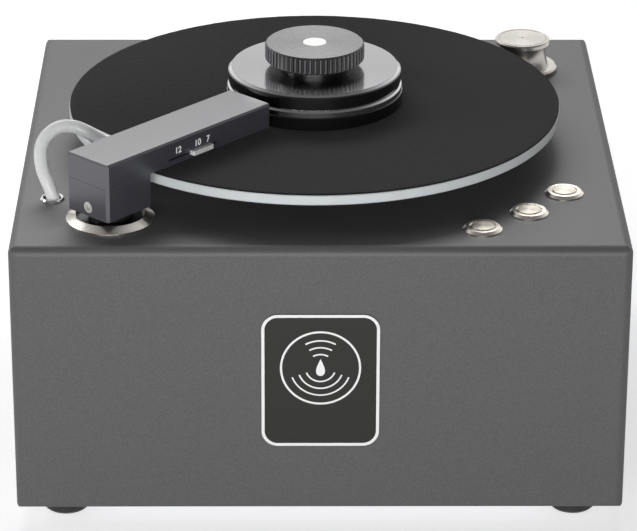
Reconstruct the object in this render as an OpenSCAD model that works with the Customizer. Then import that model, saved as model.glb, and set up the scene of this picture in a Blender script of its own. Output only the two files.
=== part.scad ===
// Vacuum record cleaning machine: a sheet metal case, a driven platter with a screw-down clamp,
// a swinging suction arm, a waste tank, a suction fan and its controls.
// The origin is on the table under the middle of the whole machine, +Y points to its back.

/* [Case] */
// Width of the case, left to right
case_w = 350; // [342:1:390]
// Depth of the case, front to back
case_d = 338; // [330:1:380]
// Height of the case without its feet
case_h = 163.5; // [156:0.5:190]
// Thickness of the case's sheet
sheet_t = 3; // [2:0.5:3.5]
// Outer radius of the case's folded edges
edge_r = 5; // [4:0.5:7]
// Radius of the case's lower rim
rim_r = 2; // [1:0.5:2.5]
// Thickness of the bottom plate
base_t = 3; // [2:0.5:5]
// Gap between the bottom plate and the case round it
base_gap = 0.4; // [0.3:0.1:1]
// Size of the welded blocks that the bottom plate is screwed to
block_s = 16; // [14:1:22]
// Height of the welded blocks
block_h = 12; // [8:1:20]

/* [Feet] */
// Diameter of a rubber foot
foot_d = 27; // [22:1:34]
// Height of a rubber foot
foot_h = 12; // [9:0.5:16]
// Distance from the case's sides to a foot's centre
foot_inset = 27.3; // [24:0.1:40]
// Diameter of a foot screw's head
foot_head_d = 8.4; // [7:0.1:10]
// Diameter of a foot screw's shank
foot_screw_d = 4; // [3:0.5:5]

/* [Badge] */
// Width of the front badge
badge_w = 67; // [50:1:90]
// Height of the front badge
badge_h = 82.5; // [60:0.5:100]
// Thickness of the badge plate
badge_t = 0.8; // [0.5:0.1:1.5]
// Corner radius of the badge
badge_r = 9.4; // [5:0.1:14]
// Width of the badge's printed border
border_w = 1.75; // [1:0.05:3]
// Diameter of the badge's printed ring
ring_d = 46; // [30:1:48]
// Width of the ring's line
ring_w = 1.2; // [0.8:0.1:3]
// Height of the ring's centre over the middle of the badge
ring_up = 8.1; // [0:0.1:12]
// Thickness of the raised print
print_t = 0.15; // [0.1:0.05:0.4]

/* [Platter] */
// Least distance from the case's sides to the platter's edge
side_margin = 28.4; // [26:0.1:36]
// Least distance from the case's front and back to the platter's edge
front_margin = 22.4; // [20:0.1:30]
// Thickness of the platter
platter_t = 6; // [5:0.1:8]
// Height of the platter's underside over the case
platter_rise = 17; // [14:0.5:22]
// Thickness of the felt mat
mat_t = 1.1; // [0.8:0.1:2]
// How far the mat stays inside the platter's edge
mat_inset = 0.3; // [0.2:0.1:2]
// Distance of the platter's axis from the middle of the case, to the right
platter_x = -2.4; // [-6:0.1:4]
// Distance of the platter's axis from the middle of the case, to the back
platter_y = -1.6; // [-4:0.1:4]

/* [Drive] */
// Diameter of the platter's shaft
shaft_d = 10; // [8:0.5:12]
// Diameter of the gear motor's shaft
motor_shaft_d = 8; // [6:0.5:9]
// Diameter of the record spindle
spindle_d = 7.1; // [7:0.05:7.3]
// Height of the spindle over the mat
spindle_up = 26; // [20:1:27]
// Diameter of the hub's flange under the platter
hub_d = 90; // [60:1:120]
// Thickness of the hub's flange
hub_t = 5; // [4:0.5:7]
// Diameter of the hub's boss through the platter
boss_d = 22; // [18:1:28]
// Outer diameter of the bronze bush
bush_d = 16; // [15:0.5:20]
// Diameter of the bearing housing's tube
bearing_d = 39.6; // [34:0.1:44]
// Diameter of the bearing housing's flange under the sheet
bearing_flange_d = 80; // [70:1:90]
// Thickness of the bearing housing's flange
bearing_flange_t = 6; // [4:0.5:8]
// Length of the bearing housing under the sheet
bearing_l = 30; // [24:1:34]
// Length of the pillars that carry the gear motor
pillar_l = 50; // [48:1:56]
// Diameter of the gearbox
gearbox_d = 52; // [44:1:56]
// Length of the gearbox
gearbox_l = 26; // [20:1:28]
// Diameter of the motor under the gearbox
motor_d = 42; // [34:1:42]
// Length of the motor
motor_l = 40; // [30:1:42]
// Diameter of the coupling
coupling_d = 22; // [20:1:26]

/* [Clamp] */
// Diameter of the clamp's black base
base_d = 105; // [98:0.5:108]
// Height of the black base
clamp_base_h = 8; // [6:0.5:10]
// Diameter of the bright band over the base
band_d = 104; // [96:0.5:104]
// Height of the bright band
band_h = 3.8; // [3:0.1:5]
// Diameter at the bottom of the dark groove
groove_d = 100; // [90:0.5:100]
// Height of the dark groove
groove_h = 1.9; // [1:0.1:3]
// Diameter of the clamp's upper disc
disc_d = 103.1; // [94:0.1:103.5]
// Height of the upper disc
disc_h = 8; // [6:0.5:10]
// Chamfer on the upper disc
disc_c = 2; // [0.5:0.1:3]
// Diameter of the fluted knob
knob_d = 59.2; // [50:0.2:64]
// Height of the knob
knob_h = 10.7; // [9:0.1:14]
// Height of the neck under the knob
neck_h = 4; // [3:0.1:6]
// Diameter of the neck
neck_d = 40; // [30:1:44]
// Number of flutes round the knob
flutes = 60; // [40:1:72]
// Depth of a flute
flute_depth = 1; // [0.5:0.1:1.2]
// Diameter of the polished insert in the knob
insert_d = 14.5; // [10:0.5:20]

/* [Arm] */
// Distance from the platter's edge to the arm's pivot
arm_margin = 24.2; // [23:0.1:26]
// Direction of the pivot from the platter's axis
arm_dir = 226.8; // [225:0.1:228]
// Width of the bar and its block
bar_w = 33; // [30:0.5:34]
// Height of the bar
bar_h = 14.6; // [13:0.1:18]
// Length of the bar behind its pivot
bar_tail = 17.7; // [16:0.1:20]
// Gap between the bar's end and the clamp
clamp_gap = 2.8; // [2.8:0.1:6]
// Chamfer on the uprights of the bar and the block
bar_c = 1.6; // [0.5:0.1:2.5]
// Height of the suction channel in the bar
channel_h = 7; // [6:0.5:8]
// Width of the suction channel
channel_w = 20; // [14:1:24]
// Thickness of the velvet pads
pad_t = 1.2; // [0.8:0.1:2]
// Gap between the pads and the mat
pad_gap = 1.6; // [1.5:0.1:3]
// Width of a velvet pad
pad_w = 6; // [4:0.5:7]
// Width of the suction slot between the pads
nozzle_w = 3; // [2:0.5:3.5]
// Height of the block's underside over the case
block_lift = 7; // [6.2:0.1:9]
// Length of the block along the bar
block_l = 35.4; // [33:0.1:36]
// Diameter of the stainless base ring
flange_d = 50.6; // [46:0.2:54]
// Height of the base ring
flange_h = 3.5; // [3:0.1:5]
// Width of the base ring, bevel and all
flange_w = 5.5; // [4.5:0.1:6.5]
// Diameter of the turning hub under the block
hub_ring_d = 26; // [22:1:30]
// Diameter of the arm's post
post_d = 12; // [10:0.5:13]
// Outer diameter of the sliding sleeve
sleeve_d = 22; // [20:0.5:24]
// Wall of the arm's housing round the sleeve's collar
housing_wall = 3; // [2:0.5:4]
// Depth of the arm's housing under the top of the case
housing_l = 38; // [34:1:40]
// Diameter of the clamping screw's head
set_screw_d = 6.8; // [5:0.1:8]
// Length of the slot that the size slider runs in
slot_l = 39.6; // [38:0.1:44]
// Distance of the slot's outer end from the pivot
slot_end = 70.5; // [68:0.1:74]
// Length of the size slider's knob
slider_l = 16.7; // [14:0.1:17]
// Height of the size slider's knob
slider_h = 2.8; // [2.4:0.1:3.6]
// Distance of the slider's knob from the pivot
slider_at = 56.5; // [55:0.1:58]
// Distance of the hose's barb from the pivot
barb_at = 27.3; // [26:0.1:28]

/* [Hose] */
// Outer diameter of the arm's hose
hose_d = 7.8; // [6:0.1:8]
// Distance from the platter's edge to the grommet
grommet_margin = 33.4; // [32:0.1:35]
// Direction of the grommet from the platter's axis
grommet_dir = 212.6; // [211:0.1:214]
// Outer diameter of the grommet
grommet_d = 14.1; // [13:0.1:16]
// Bore of the grommet
grommet_bore = 10; // [9.5:0.1:10.5]

/* [Buttons] */
// Distance from the platter's edge to the row of buttons
button_margin = 22.4; // [20:0.1:24]
// Direction of the first button from the platter's axis
button_first = -56.2; // [-58:0.1:-52]
// Angle from one button to the next
button_step = 12.3; // [11:0.1:14]
// Diameter of a button's bezel
bezel_d = 22.5; // [20:0.5:26]
// Height of a bezel over the case
bezel_h = 2; // [1.5:0.1:3]
// Diameter of a button's cap
button_d = 14; // [11:0.5:14]
// Diameter of a button's barrel under the sheet
barrel_d = 17; // [16.5:0.5:19]
// Travel of a button
button_travel = 1.2; // [0.8:0.1:1.5]

/* [Port] */
// Distance from the platter's edge to the port
port_margin = 27.4; // [26:0.1:30]
// Direction of the port from the platter's axis
port_dir = 40.7; // [38:0.1:44]
// Diameter of the port's foot flange
port_flange_d = 44; // [38:0.5:48]
// Height of the port's foot flange
port_flange_h = 3.5; // [3:0.1:5]
// Diameter of the cap's disc
cap_d = 34.2; // [32:0.2:38]
// Height of the cap over the case
cap_h = 21; // [19:0.5:26]
// Thickness of the cap's disc
cap_disc_t = 2.8; // [2:0.1:4]
// Diameter of the cap's plug
plug_d = 24; // [18:0.5:25]

/* [Tank] */
// Width of the waste tank
tank_w = 80; // [78:1:90]
// Length of the waste tank, front to back
tank_l = 140; // [136:1:150]
// Thickness of the tank's walls
tank_wall = 2.5; // [2:0.5:4]
// Thickness of the tank's lid
lid_t = 4; // [3:0.5:5]
// Distance from the grommet's axis to the tank's left side
tank_left = 12; // [8:0.5:13]
// Distance from the grommet's axis to the tank's front
tank_front = 36; // [30:1:40]
// Room between the arm's housing and the tank's lid
tank_room = 12; // [10:1:14]
// Diameter of the float
float_d = 32; // [26:1:40]
// Height of the float
float_h = 22; // [16:1:26]
// Diameter of the rod that guides the float
rod_d = 6; // [4:0.5:8]

/* [Fan] */
// Diameter of the fan's housing
fan_d = 120; // [100:1:122]
// Length of the fan's housing
fan_l = 42; // [34:1:46]
// Wall of the fan's housing
fan_wall = 3; // [2:0.5:4]
// Diameter of the fan's motor
fan_motor_d = 76; // [60:1:84]
// Room between the fan's motor and the back of the case
fan_room = 24.6; // [20:0.2:40]
// Number of blades on the impeller
blades = 8; // [6:1:12]
// Outer diameter of the tank's and the fan's spigots
spigot_d = 16; // [14:0.5:17]
// Length of the hose between the tank and the fan
fan_hose_l = 30; // [26:1:34]
// Distance from the tank's right side to the fan's axis
fan_inset = 18; // [14:1:22]
// Distance of the fan's axis under the tank's rim
fan_drop = 18; // [16:1:20]

/* [Rear] */
// Width of the rear panel
panel_w = 112; // [100:1:130]
// Height of the rear panel
panel_h = 56; // [50:1:64]
// Thickness of the rear panel
panel_t = 1.5; // [1:0.1:3]
// Distance of the rear panel's middle from the middle of the case, to the right
panel_x = 96; // [85:1:100]
// Height of the rear panel's middle over the case's lower rim
panel_z = 62; // [50:1:80]
// Width of the inlet module's flange
inlet_w = 62; // [58:1:70]
// Height of the inlet module's flange
inlet_h = 32; // [30:1:36]
// Diameter of the drain spout
spout_d = 10; // [8:0.5:12]
// Length of the drain spout
spout_l = 13; // [10:1:16]
// Diameter of the drain valve's body
valve_d = 16; // [14:1:20]
// Length of the drain valve's body behind its flange
valve_l = 14; // [14:0.5:18]
// Length of the drain tap's lever
tap_l = 16; // [12:1:17]

/* [Inside] */
// Width of the power supply
supply_w = 100; // [80:1:110]
// Length of the power supply
supply_l = 60; // [50:1:70]
// Height of the power supply
supply_h = 36; // [28:1:45]
// Width of the control board
board_w = 80; // [70:1:90]
// Length of the control board
board_l = 50; // [44:1:60]
// Height of the studs under the control board
stud_h = 8; // [5:0.5:12]

/* [Fits] */
// Radial clearance of a shaft that turns in its bore
run_gap = 0.05; // [0.03:0.01:0.08]
// Radial clearance of a piece pressed or glued into its seat
seat_gap = 0.02; // [0.01:0.01:0.05]
// Clearance of a piece that passes through a hole in the sheet
hole_gap = 0.3; // [0.2:0.05:0.5]
// Clearance beside a piece that slides or lifts freely
slide_gap = 0.3; // [0.2:0.05:0.5]

/* [Hidden] */
$fn = 64;

// Heights over the table
case_z = foot_h;
floor_z = case_z + base_t;
top_z = case_z + case_h;
under_z = top_z - sheet_t;
platter_z = top_z + platter_rise;
mat_z = platter_z + platter_t;
deck_z = mat_z + mat_t;
band_z = deck_z + clamp_base_h;
groove_z = band_z + band_h;
disc_z = groove_z + groove_h;
neck_z = disc_z + disc_h;
knob_z = neck_z + neck_h;
bar_z = deck_z + pad_gap + pad_t;
block_z = top_z + block_lift;

// The case is set forward so that the whole machine, badge to drain spout, has its middle at y = 0
valve_flange_t = 3;
rear_reach = valve_flange_t + valve_l + spout_l;
front_reach = badge_t + print_t;
case_y = (front_reach - rear_reach) / 2;
front_y = case_y - case_d / 2;
rear_y = case_y + case_d / 2;
inner_rear_y = rear_y - sheet_t;
inner_w = case_w - 2 * sheet_t;
inner_d = case_d - 2 * sheet_t;
inner_r = edge_r - sheet_t / 2;

// Places round the platter
platter_d = min(case_w - 2 * side_margin, case_d - 2 * front_margin);
platter_r = platter_d / 2;
axis_at = [platter_x, case_y + platter_y];
function around(r, a) = axis_at + r * [cos(a), sin(a)];
arm_r = platter_r + arm_margin;
arm_at = around(arm_r, arm_dir);
arm_turn = arm_dir - 180;
grommet_at = around(platter_r + grommet_margin, grommet_dir);
port_at = around(platter_r + port_margin, port_dir);
button_angles = [for (i = [0:2]) button_first + i * button_step];
function button_at(i) = around(platter_r + button_margin, button_angles[i]);
foot_at = [for (x = [-1, 1], y = [-1, 1])
    [x * (case_w / 2 - foot_inset), case_y + y * (case_d / 2 - foot_inset)]];
block_at = [for (x = [-1, 1], y = [-1, 1])
    [x * (inner_w - block_s) / 2, case_y + y * (inner_d - block_s) / 2]];

// Fasteners
m3_d = 3;
m3_head_d = 5.6;
m3_head_h = 1.8;
m3_l = 10;
foot_head_h = 3;
head_c = 0.4;
socket_share = 0.5;

// Drive
shaft_r = shaft_d / 2;
bearing_up = 4;
hub_skirt = 7;
hub_skirt_d = 24;
bearing_low = under_z - bearing_l;
plate_t = 4;
motor_plate_z = under_z - bearing_flange_t - pillar_l;
pillar_ring = 32;
pillar_d = 8;
coupling_room = 2.5;
coupling_l = 18;
coupling_z = bearing_low - coupling_room - coupling_l;
shaft_meet = coupling_z + coupling_l / 2;
shaft_split = 0.6;
motor_shaft_low = 14;
motor_tail_d = 12;
motor_tail_l = 5;
motor_bore_low = motor_shaft_low + slide_gap;

// Clamp
clamp_bore_d = spindle_d + 2 * 0.1;
spindle_top = deck_z + spindle_up;
insert_t = 1.5;
flute_points = 6;

// Arm along its own X from the pivot, with +Y on the hose's side
bar_reach = arm_r - base_d / 2 - clamp_gap;
post_r = post_d / 2;
sleeve_r = sleeve_d / 2;
collar_r = sleeve_r + 1.9;
collar_t = 3;
sleeve_up = 2.6;
sleeve_l = 24.6;
collar_z = top_z + sleeve_up - sleeve_l;
housing_r = collar_r + run_gap + housing_wall;
housing_lip = 1;
flange_edge = 0.8;
housing_low = top_z - housing_l;
housing_cap_t = 4;
post_gap = 0.2;
seat_up = top_z + sleeve_up + post_gap;
post_stub = 9;
slot_z = bar_z + 3.6;
block_c = 0.3;
bar_top_c = 1.1;
slot_h = 1;
stem_l = 14;
tongue_l = 30;
stem_h = 0.8;
slider_out = 3;
slider_c = 0.7;
channel_z = bar_z + 2;
channel_end = 6;
barb_z = bar_z + 4.1;
barb_l = 6;
barb_d = 9;
barb_bore = 4.2;
hex_s = 3.2;
screw_up = 4.9;
pad_end = 4;
pad_start = 18;

// Buttons
barrel_l = 20;
cap_up = 0.3;
cap_l = 8;
well_l = 14;
plunger_d = 5;
spring_d = 11;
spring_wall = 1.3;
nut_t = 4;
nut_d = 24;
bezel_c = 0.5;

// Port
port_barrel_d = plug_d + 4;
port_barrel_l = 12;
plug_l = 10;
waist_d = 29.6;
waist_r = 25;
waist_up = 13.5;
cap_rim = 2.4;

// Tank and fan
lid_z = top_z - housing_l - tank_room - lid_t;
tank_at = grommet_at + [tank_w / 2 - tank_left, tank_l / 2 - tank_front];
tank_r = 8;
tank_back_y = tank_at[1] + tank_l / 2;
inlet_spigot_d = 8;
inlet_spigot_l = 12;
fan_x = tank_at[0] + tank_w / 2 - fan_inset;
fan_z = lid_z - fan_drop;
fan_y = tank_back_y + fan_hose_l;
fan_flange_t = 4;
fan_motor_l = inner_rear_y - fan_room - fan_y - fan_l - fan_flange_t;
spigot_l = 10;
spigot_bore = spigot_d - 3;
inner_hose_wall = 2;
fan_shaft_d = 8;
fan_shaft_l = 16;
blade_t = 1.5;
impeller_gap = 3;
float_back = 8;
float_at = tank_at + [0, float_back];
float_room = 0.5;
rod_end = 3;
float_low = 0.3;
drain_inset = 22;
drain_x = tank_at[0] - tank_w / 2 + drain_inset;
drain_up = 9;
drain_z = floor_z + tank_wall + drain_up;
drain_pipe_d = 12;
drain_pipe_l = 15;
small_bore = 3.8;
tap_stem_d = 5;
tap_hub_d = 9;
tap_t = 4;
tap_w = 6;
cradle_w = 60;
cradle_l = 25;
cradle_gap = 0.3;
cradle_up = 14;
wheel_hub_d = 20;

// Rear panel
panel_mid = case_z + panel_z;
window_w = 92;
window_h = 40;
inlet_t = 2.5;
inlet_body_w = 54;
inlet_body_h = 26;
inlet_body_l = 26;
socket_x = 12;
socket_w = 24.6;
socket_h = 16.6;
socket_l = 17;
pin_w = 4;
pin_t = 2;
pin_l = 13;
pin_step = 7;
pin_down = 3;
rocker_x = -15;
rocker_w = 12;
rocker_h = 19;
rocker_well = 14;
rocker_tilt = 6;
rocker_deep = 6;
rocker_pin_d = 3;
rocker_pin_out = 1.5;
screw_inset = 5;
panel_screws = [for (x = [-1, 1], z = [-1, 1])
    [panel_x + x * (panel_w / 2 - screw_inset), panel_mid + z * (panel_h / 2 - screw_inset)]];

// Vents and the outlet
vent_w = 3;
vent_step = 7;
vent_l = 40;
vents = 11;
floor_vent_l = 60;
floor_vent_y = 90;
outlet_w = 16;
outlet_l = 24;
outlet_at = 20;

// Electrics
supply_room = 44;
supply_at = [panel_x - 4, inner_rear_y - supply_l / 2 - supply_room];
board_room = 40;
board_at = [panel_x, front_y + sheet_t + board_l / 2 + board_room];
stud_d = 6;
stud_inset = 5;
stud_at = [for (x = [-1, 1], y = [-1, 1])
    board_at + [x * (board_w / 2 - stud_inset), y * (board_l / 2 - stud_inset)]];
board_t = 1.6;
relay_w = 14;
relay_l = 18;
relay_h = 14;
terminal_l = 7;
terminal_h = 9;
terminal_inset = 8;
wire_d = 3;
wire_step = 12;
motor_wire_x = 40;

// The hose's route: first the heights over the case's top of its straight rise through the grommet,
// then, for each further point, its share of the way from the grommet to the barb, its distance to the
// left of that way as a share of its length, and its share of the barb's height
hose_low = lid_z + lid_t + inlet_spigot_l - top_z;
hose_rise = [hose_low, hose_low * 0.63, hose_low * 0.26, hose_low * 0.08];
hose_bow = [
    [-0.027, 0.028, 0.097],
    [-0.079, 0.088, 0.306],
    [-0.121, 0.170, 0.516],
    [-0.129, 0.259, 0.726],
    [-0.101, 0.335, 0.887],
    [-0.020, 0.398, 1.048],
    [0.121, 0.444, 1.168],
    [0.278, 0.467, 1.210],
    [0.452, 0.456, 1.181],
    [0.604, 0.402, 1.110],
    [0.742, 0.312, 1.039],
    [0.867, 0.190, 1.000],
    [1.000, 0.000, 1.000],
];
barb_room = 0.3;
function arm_point(x, y) = arm_at
    + [x * cos(arm_turn) - y * sin(arm_turn), x * sin(arm_turn) + y * cos(arm_turn)];
hose_way = arm_point(barb_at, bar_w / 2 + barb_l + barb_room) - grommet_at;
hose_route = concat([for (z = hose_rise) [0, 0, z]],
    [for (p = hose_bow) [p[0] * hose_way[0] - p[1] * hose_way[1],
        p[0] * hose_way[1] + p[1] * hose_way[0], p[2] * (barb_z - top_z)]]);
hose_sides = 10;

// A rectangle about the origin with true round corners
module round_rect(w, h, r) {
    square([w - 2 * r, h], center = true);
    square([w, h - 2 * r], center = true);
    for (x = [-1, 1], y = [-1, 1])
        translate([x * (w / 2 - r), y * (h / 2 - r)]) circle(r = r);
}

// An upright outline standing on the origin, with its own radius at the top and at the bottom
module end_outline(w, h, r_top, r_low) {
    translate([-w / 2, r_low]) square([w, h - r_top - r_low]);
    translate([-w / 2 + r_top, h - r_top]) square([w - 2 * r_top, r_top]);
    translate([-w / 2 + r_low, 0]) square([w - 2 * r_low, r_low]);
    for (x = [-1, 1]) {
        translate([x * (w / 2 - r_top), h - r_top]) circle(r = r_top);
        translate([x * (w / 2 - r_low), r_low]) circle(r = r_low);
    }
}

// A box on the origin with rounded uprights, top and foot
module soft_box(w, d, h, r_side, r_low) {
    intersection() {
        linear_extrude(h) round_rect(w, d, r_side);
        translate([0, d / 2, 0]) rotate([90, 0, 0])
            linear_extrude(d) end_outline(w, h, r_side, r_low);
        translate([-w / 2, 0, 0]) rotate([90, 0, 90])
            linear_extrude(w) end_outline(d, h, r_side, r_low);
    }
}

// A rectangle about the origin with cut corners
module cut_rect(w, h, c) {
    polygon([[-w / 2 + c, -h / 2], [w / 2 - c, -h / 2], [w / 2, -h / 2 + c], [w / 2, h / 2 - c],
        [w / 2 - c, h / 2], [-w / 2 + c, h / 2], [-w / 2, h / 2 - c], [-w / 2, -h / 2 + c]]);
}

// A block from corner a to corner b with its uprights cut by c and its upper edges by t
module cut_block(a, b, c, t) {
    s = b - a;
    mid = (a + b) / 2;
    intersection() {
        translate([mid[0], mid[1], a[2]]) linear_extrude(s[2]) cut_rect(s[0], s[1], c);
        translate([mid[0], b[1], b[2]]) rotate([90, 0, 0]) linear_extrude(s[1])
            polygon([[-s[0] / 2, -s[2]], [s[0] / 2, -s[2]], [s[0] / 2, -t],
                [s[0] / 2 - t, 0], [-s[0] / 2 + t, 0], [-s[0] / 2, -t]]);
        translate([a[0], mid[1], b[2]]) rotate([90, 0, 90]) linear_extrude(s[0])
            polygon([[-s[1] / 2, -s[2]], [s[1] / 2, -s[2]], [s[1] / 2, -t],
                [s[1] / 2 - t, 0], [-s[1] / 2 + t, 0], [-s[1] / 2, -t]]);
    }
}

// A tube from z1 to z2
module tube(r_out, r_in, z1, z2) {
    translate([0, 0, z1]) difference() {
        cylinder(r = r_out, h = z2 - z1);
        translate([0, 0, -1]) cylinder(r = r_in, h = z2 - z1 + 2);
    }
}

// A turned piece from its half profile
module turned(points) {
    rotate_extrude($fn = 96) polygon(points);
}

module at(p) {
    translate([p[0], p[1], 0]) children();
}

// Things that lie along +Y, from a point at x, y, z
module along_y(x, y, z) {
    translate([x, y, z]) rotate([-90, 0, 0]) children();
}

module arm_frame() {
    at(arm_at) rotate([0, 0, arm_turn]) children();
}

// Case

module case_shell() color("#5b5b5d") {
    difference() {
        translate([0, case_y, case_z]) soft_box(case_w, case_d, case_h, edge_r, rim_r);
        translate([0, case_y, case_z - 1])
            linear_extrude(case_h + 1 - sheet_t) round_rect(inner_w, inner_d, inner_r);
        top_holes();
        rear_holes();
    }
    for (p = block_at) difference() {
        translate([p[0], p[1], floor_z]) linear_extrude(block_h)
            round_rect(block_s, block_s, inner_r);
        at(p) translate([0, 0, floor_z - 1]) cylinder(d = m3_d + 0.1, h = block_h);
    }
}

module top_holes() {
    deep = sheet_t + 2;
    z = under_z - 1;
    at(axis_at) translate([0, 0, z]) cylinder(d = bearing_d + 2 * hole_gap, h = deep);
    at(arm_at) translate([0, 0, z]) cylinder(r = housing_r + hole_gap, h = deep);
    at(grommet_at) translate([0, 0, z]) cylinder(d = grommet_bore + 2, h = deep);
    at(port_at) translate([0, 0, z]) cylinder(d = port_barrel_d + 2 * hole_gap, h = deep);
    for (i = [0:2]) at(button_at(i))
        translate([0, 0, z]) cylinder(d = barrel_d + 2 * hole_gap, h = deep);
}

module vent_row() {
    for (i = [0:vents - 1]) translate([(i - (vents - 1) / 2) * vent_step - vent_w / 2, 0, 0]) children();
}

module rear_holes() {
    deep = sheet_t + 2;
    translate([panel_x - window_w / 2, inner_rear_y - 1, panel_mid - window_h / 2])
        cube([window_w, deep, window_h]);
    for (p = panel_screws) along_y(p[0], inner_rear_y - 1, p[1]) cylinder(d = m3_d - 0.2, h = deep);
    along_y(drain_x, inner_rear_y - 1, drain_z) cylinder(d = drain_pipe_d + 2 * hole_gap, h = deep);
    vent_row() translate([fan_x, inner_rear_y - 1, fan_z - vent_l / 2]) cube([vent_w, deep, vent_l]);
}

module bottom_plate() color("#8f9295") {
    difference() {
        translate([0, case_y, case_z]) linear_extrude(base_t)
            round_rect(inner_w - 2 * base_gap, inner_d - 2 * base_gap, inner_r);
        for (p = block_at) at(p) translate([0, 0, case_z - 1]) cylinder(d = m3_d + 0.4, h = base_t + 2);
        for (p = foot_at) at(p)
            translate([0, 0, case_z - 1]) cylinder(d = foot_screw_d + 0.2, h = base_t + 2);
        vent_row() translate([0, case_y - floor_vent_y, case_z - 1])
            cube([vent_w, floor_vent_l, base_t + 2]);
    }
    for (p = stud_at) at(p) translate([0, 0, floor_z]) cylinder(d = stud_d, h = stud_h);
}

// A screw that points up, with the underside of its head at z = 0 and a hexagon socket in the head
module socket_screw(d, l, head_d, head_h) {
    r = head_d / 2;
    difference() {
        turned([[0, -head_h], [r - head_c, -head_h], [r, head_c - head_h], [r, 0], [0, 0]]);
        translate([0, 0, -head_h - 1]) cylinder(d = head_d * socket_share, h = 1 + head_h * 0.6, $fn = 6);
    }
    translate([0, 0, -0.3]) cylinder(d = d, h = l + 0.3);
}

module screws() color("#b9bbbd") {
    for (p = block_at) at(p) translate([0, 0, case_z]) socket_screw(m3_d, m3_l, m3_head_d, m3_head_h);
    for (p = foot_at) at(p) translate([0, 0, foot_h / 2])
        socket_screw(foot_screw_d, foot_h / 2 + base_t + 2, foot_head_d, foot_head_h);
    for (p = panel_screws) along_y(p[0], rear_y + panel_t, p[1]) rotate([180, 0, 0])
        socket_screw(m3_d - 0.3, sheet_t + panel_t + 2, m3_head_d, m3_head_h);
}

module feet() color("#1d1d1e") {
    for (p = foot_at) at(p) difference() {
        turned([[0, 0], [foot_d / 2 - 1.5, 0], [foot_d / 2, 1.5], [foot_d / 2, foot_h], [0, foot_h]]);
        translate([0, 0, -1]) cylinder(d = foot_head_d + 1, h = foot_h / 2 + 1);
        translate([0, 0, -1]) cylinder(d = foot_screw_d + 0.2, h = foot_h + 2);
    }
}

module badge_place() {
    translate([0, front_y, case_z + case_h / 2]) rotate([90, 0, 0]) children();
}

module badge_plate() color("#3a3a3b") {
    badge_place() linear_extrude(badge_t) round_rect(badge_w, badge_h, badge_r);
}

module badge_trim() color("#f2f2f0") {
    badge_place() translate([0, 0, badge_t]) linear_extrude(print_t) {
        difference() {
            round_rect(badge_w, badge_h, badge_r);
            round_rect(badge_w - 2 * border_w, badge_h - 2 * border_w, badge_r - border_w);
        }
        translate([0, ring_up]) difference() {
            circle(d = ring_d);
            circle(d = ring_d - 2 * ring_w);
        }
    }
}

// Rear panel

module rear_panel() color("#2c2d2f") {
    difference() {
        along_y(panel_x, rear_y, panel_mid) linear_extrude(panel_t) round_rect(panel_w, panel_h, 3);
        translate([panel_x - inlet_body_w / 2 - hole_gap, rear_y - 1,
            panel_mid - inlet_body_h / 2 - hole_gap])
            cube([inlet_body_w + 2 * hole_gap, panel_t + 2, inlet_body_h + 2 * hole_gap]);
        for (p = panel_screws) along_y(p[0], rear_y - 1, p[1]) cylinder(d = m3_d + 0.2, h = panel_t + 2);
    }
}

module inlet_module() color("#19191a") {
    y = rear_y + panel_t;
    difference() {
        union() {
            along_y(panel_x, y, panel_mid) linear_extrude(inlet_t) round_rect(inlet_w, inlet_h, 3);
            translate([panel_x - inlet_body_w / 2, y - inlet_body_l, panel_mid - inlet_body_h / 2])
                cube([inlet_body_w, inlet_body_l + 1, inlet_body_h]);
        }
        translate([panel_x + socket_x - socket_w / 2, y + inlet_t - socket_l, panel_mid - socket_h / 2])
            cube([socket_w, socket_l + 1, socket_h]);
        translate([panel_x + rocker_x - rocker_w / 2 - slide_gap, y + inlet_t - rocker_well,
            panel_mid - rocker_h / 2 - slide_gap])
            cube([rocker_w + 2 * slide_gap, rocker_well + 1, rocker_h + 2 * slide_gap]);
        translate([panel_x + rocker_x, y + inlet_t - rocker_deep, panel_mid])
            rocker_pin(rocker_pin_d + 2 * run_gap, rocker_pin_out + 0.3);
    }
}

module inlet_pins() color("#c9c9c5") {
    y = rear_y + panel_t + inlet_t - socket_l;
    for (i = [-1:1]) translate([panel_x + socket_x + i * pin_step - pin_t / 2, y,
        panel_mid - pin_down - pin_w / 2]) cube([pin_t, pin_l, pin_w]);
}

// The rocker's pin, or its bore in the inlet, along X
module rocker_pin(d, out) {
    l = rocker_w + 2 * out;
    translate([-l / 2, 0, 0]) rotate([0, 90, 0]) cylinder(d = d, h = l);
}

module switch_rocker() color("#26262a") {
    y = rear_y + panel_t + inlet_t;
    translate([panel_x + rocker_x, y - rocker_deep, panel_mid]) rotate([-rocker_tilt, 0, 0])
        rotate([90, 0, 90]) translate([0, 0, -rocker_w / 2]) linear_extrude(rocker_w)
            polygon([[-4, -5], [4, -7.8], [7.5, -8.2], [5.6, 0], [7.5, 8.2], [4, 7.8], [-4, 5]]);
    translate([panel_x + rocker_x, y - rocker_deep, panel_mid]) rocker_pin(rocker_pin_d, rocker_pin_out);
}

module drain_valve() color("#c2a866") {
    tap_y = valve_flange_t + valve_l / 2;
    difference() {
        union() {
            along_y(drain_x, inner_rear_y - drain_pipe_l, drain_z)
                cylinder(d = drain_pipe_d, h = drain_pipe_l + sheet_t + 1);
            along_y(drain_x, rear_y, drain_z) cylinder(d = valve_d + 6, h = valve_flange_t);
            along_y(drain_x, rear_y + valve_flange_t - 1, drain_z) cylinder(d = valve_d, h = valve_l + 1);
            along_y(drain_x, rear_y + valve_flange_t + valve_l - 1, drain_z)
                cylinder(d = spout_d, h = spout_l + 1);
        }
        along_y(drain_x, inner_rear_y - drain_pipe_l - 1, drain_z)
            cylinder(d = small_bore, h = drain_pipe_l + sheet_t + rear_reach + 2);
        translate([drain_x, rear_y + tap_y, drain_z]) cylinder(d = tap_stem_d + 2 * run_gap, h = valve_d);
    }
}

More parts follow.
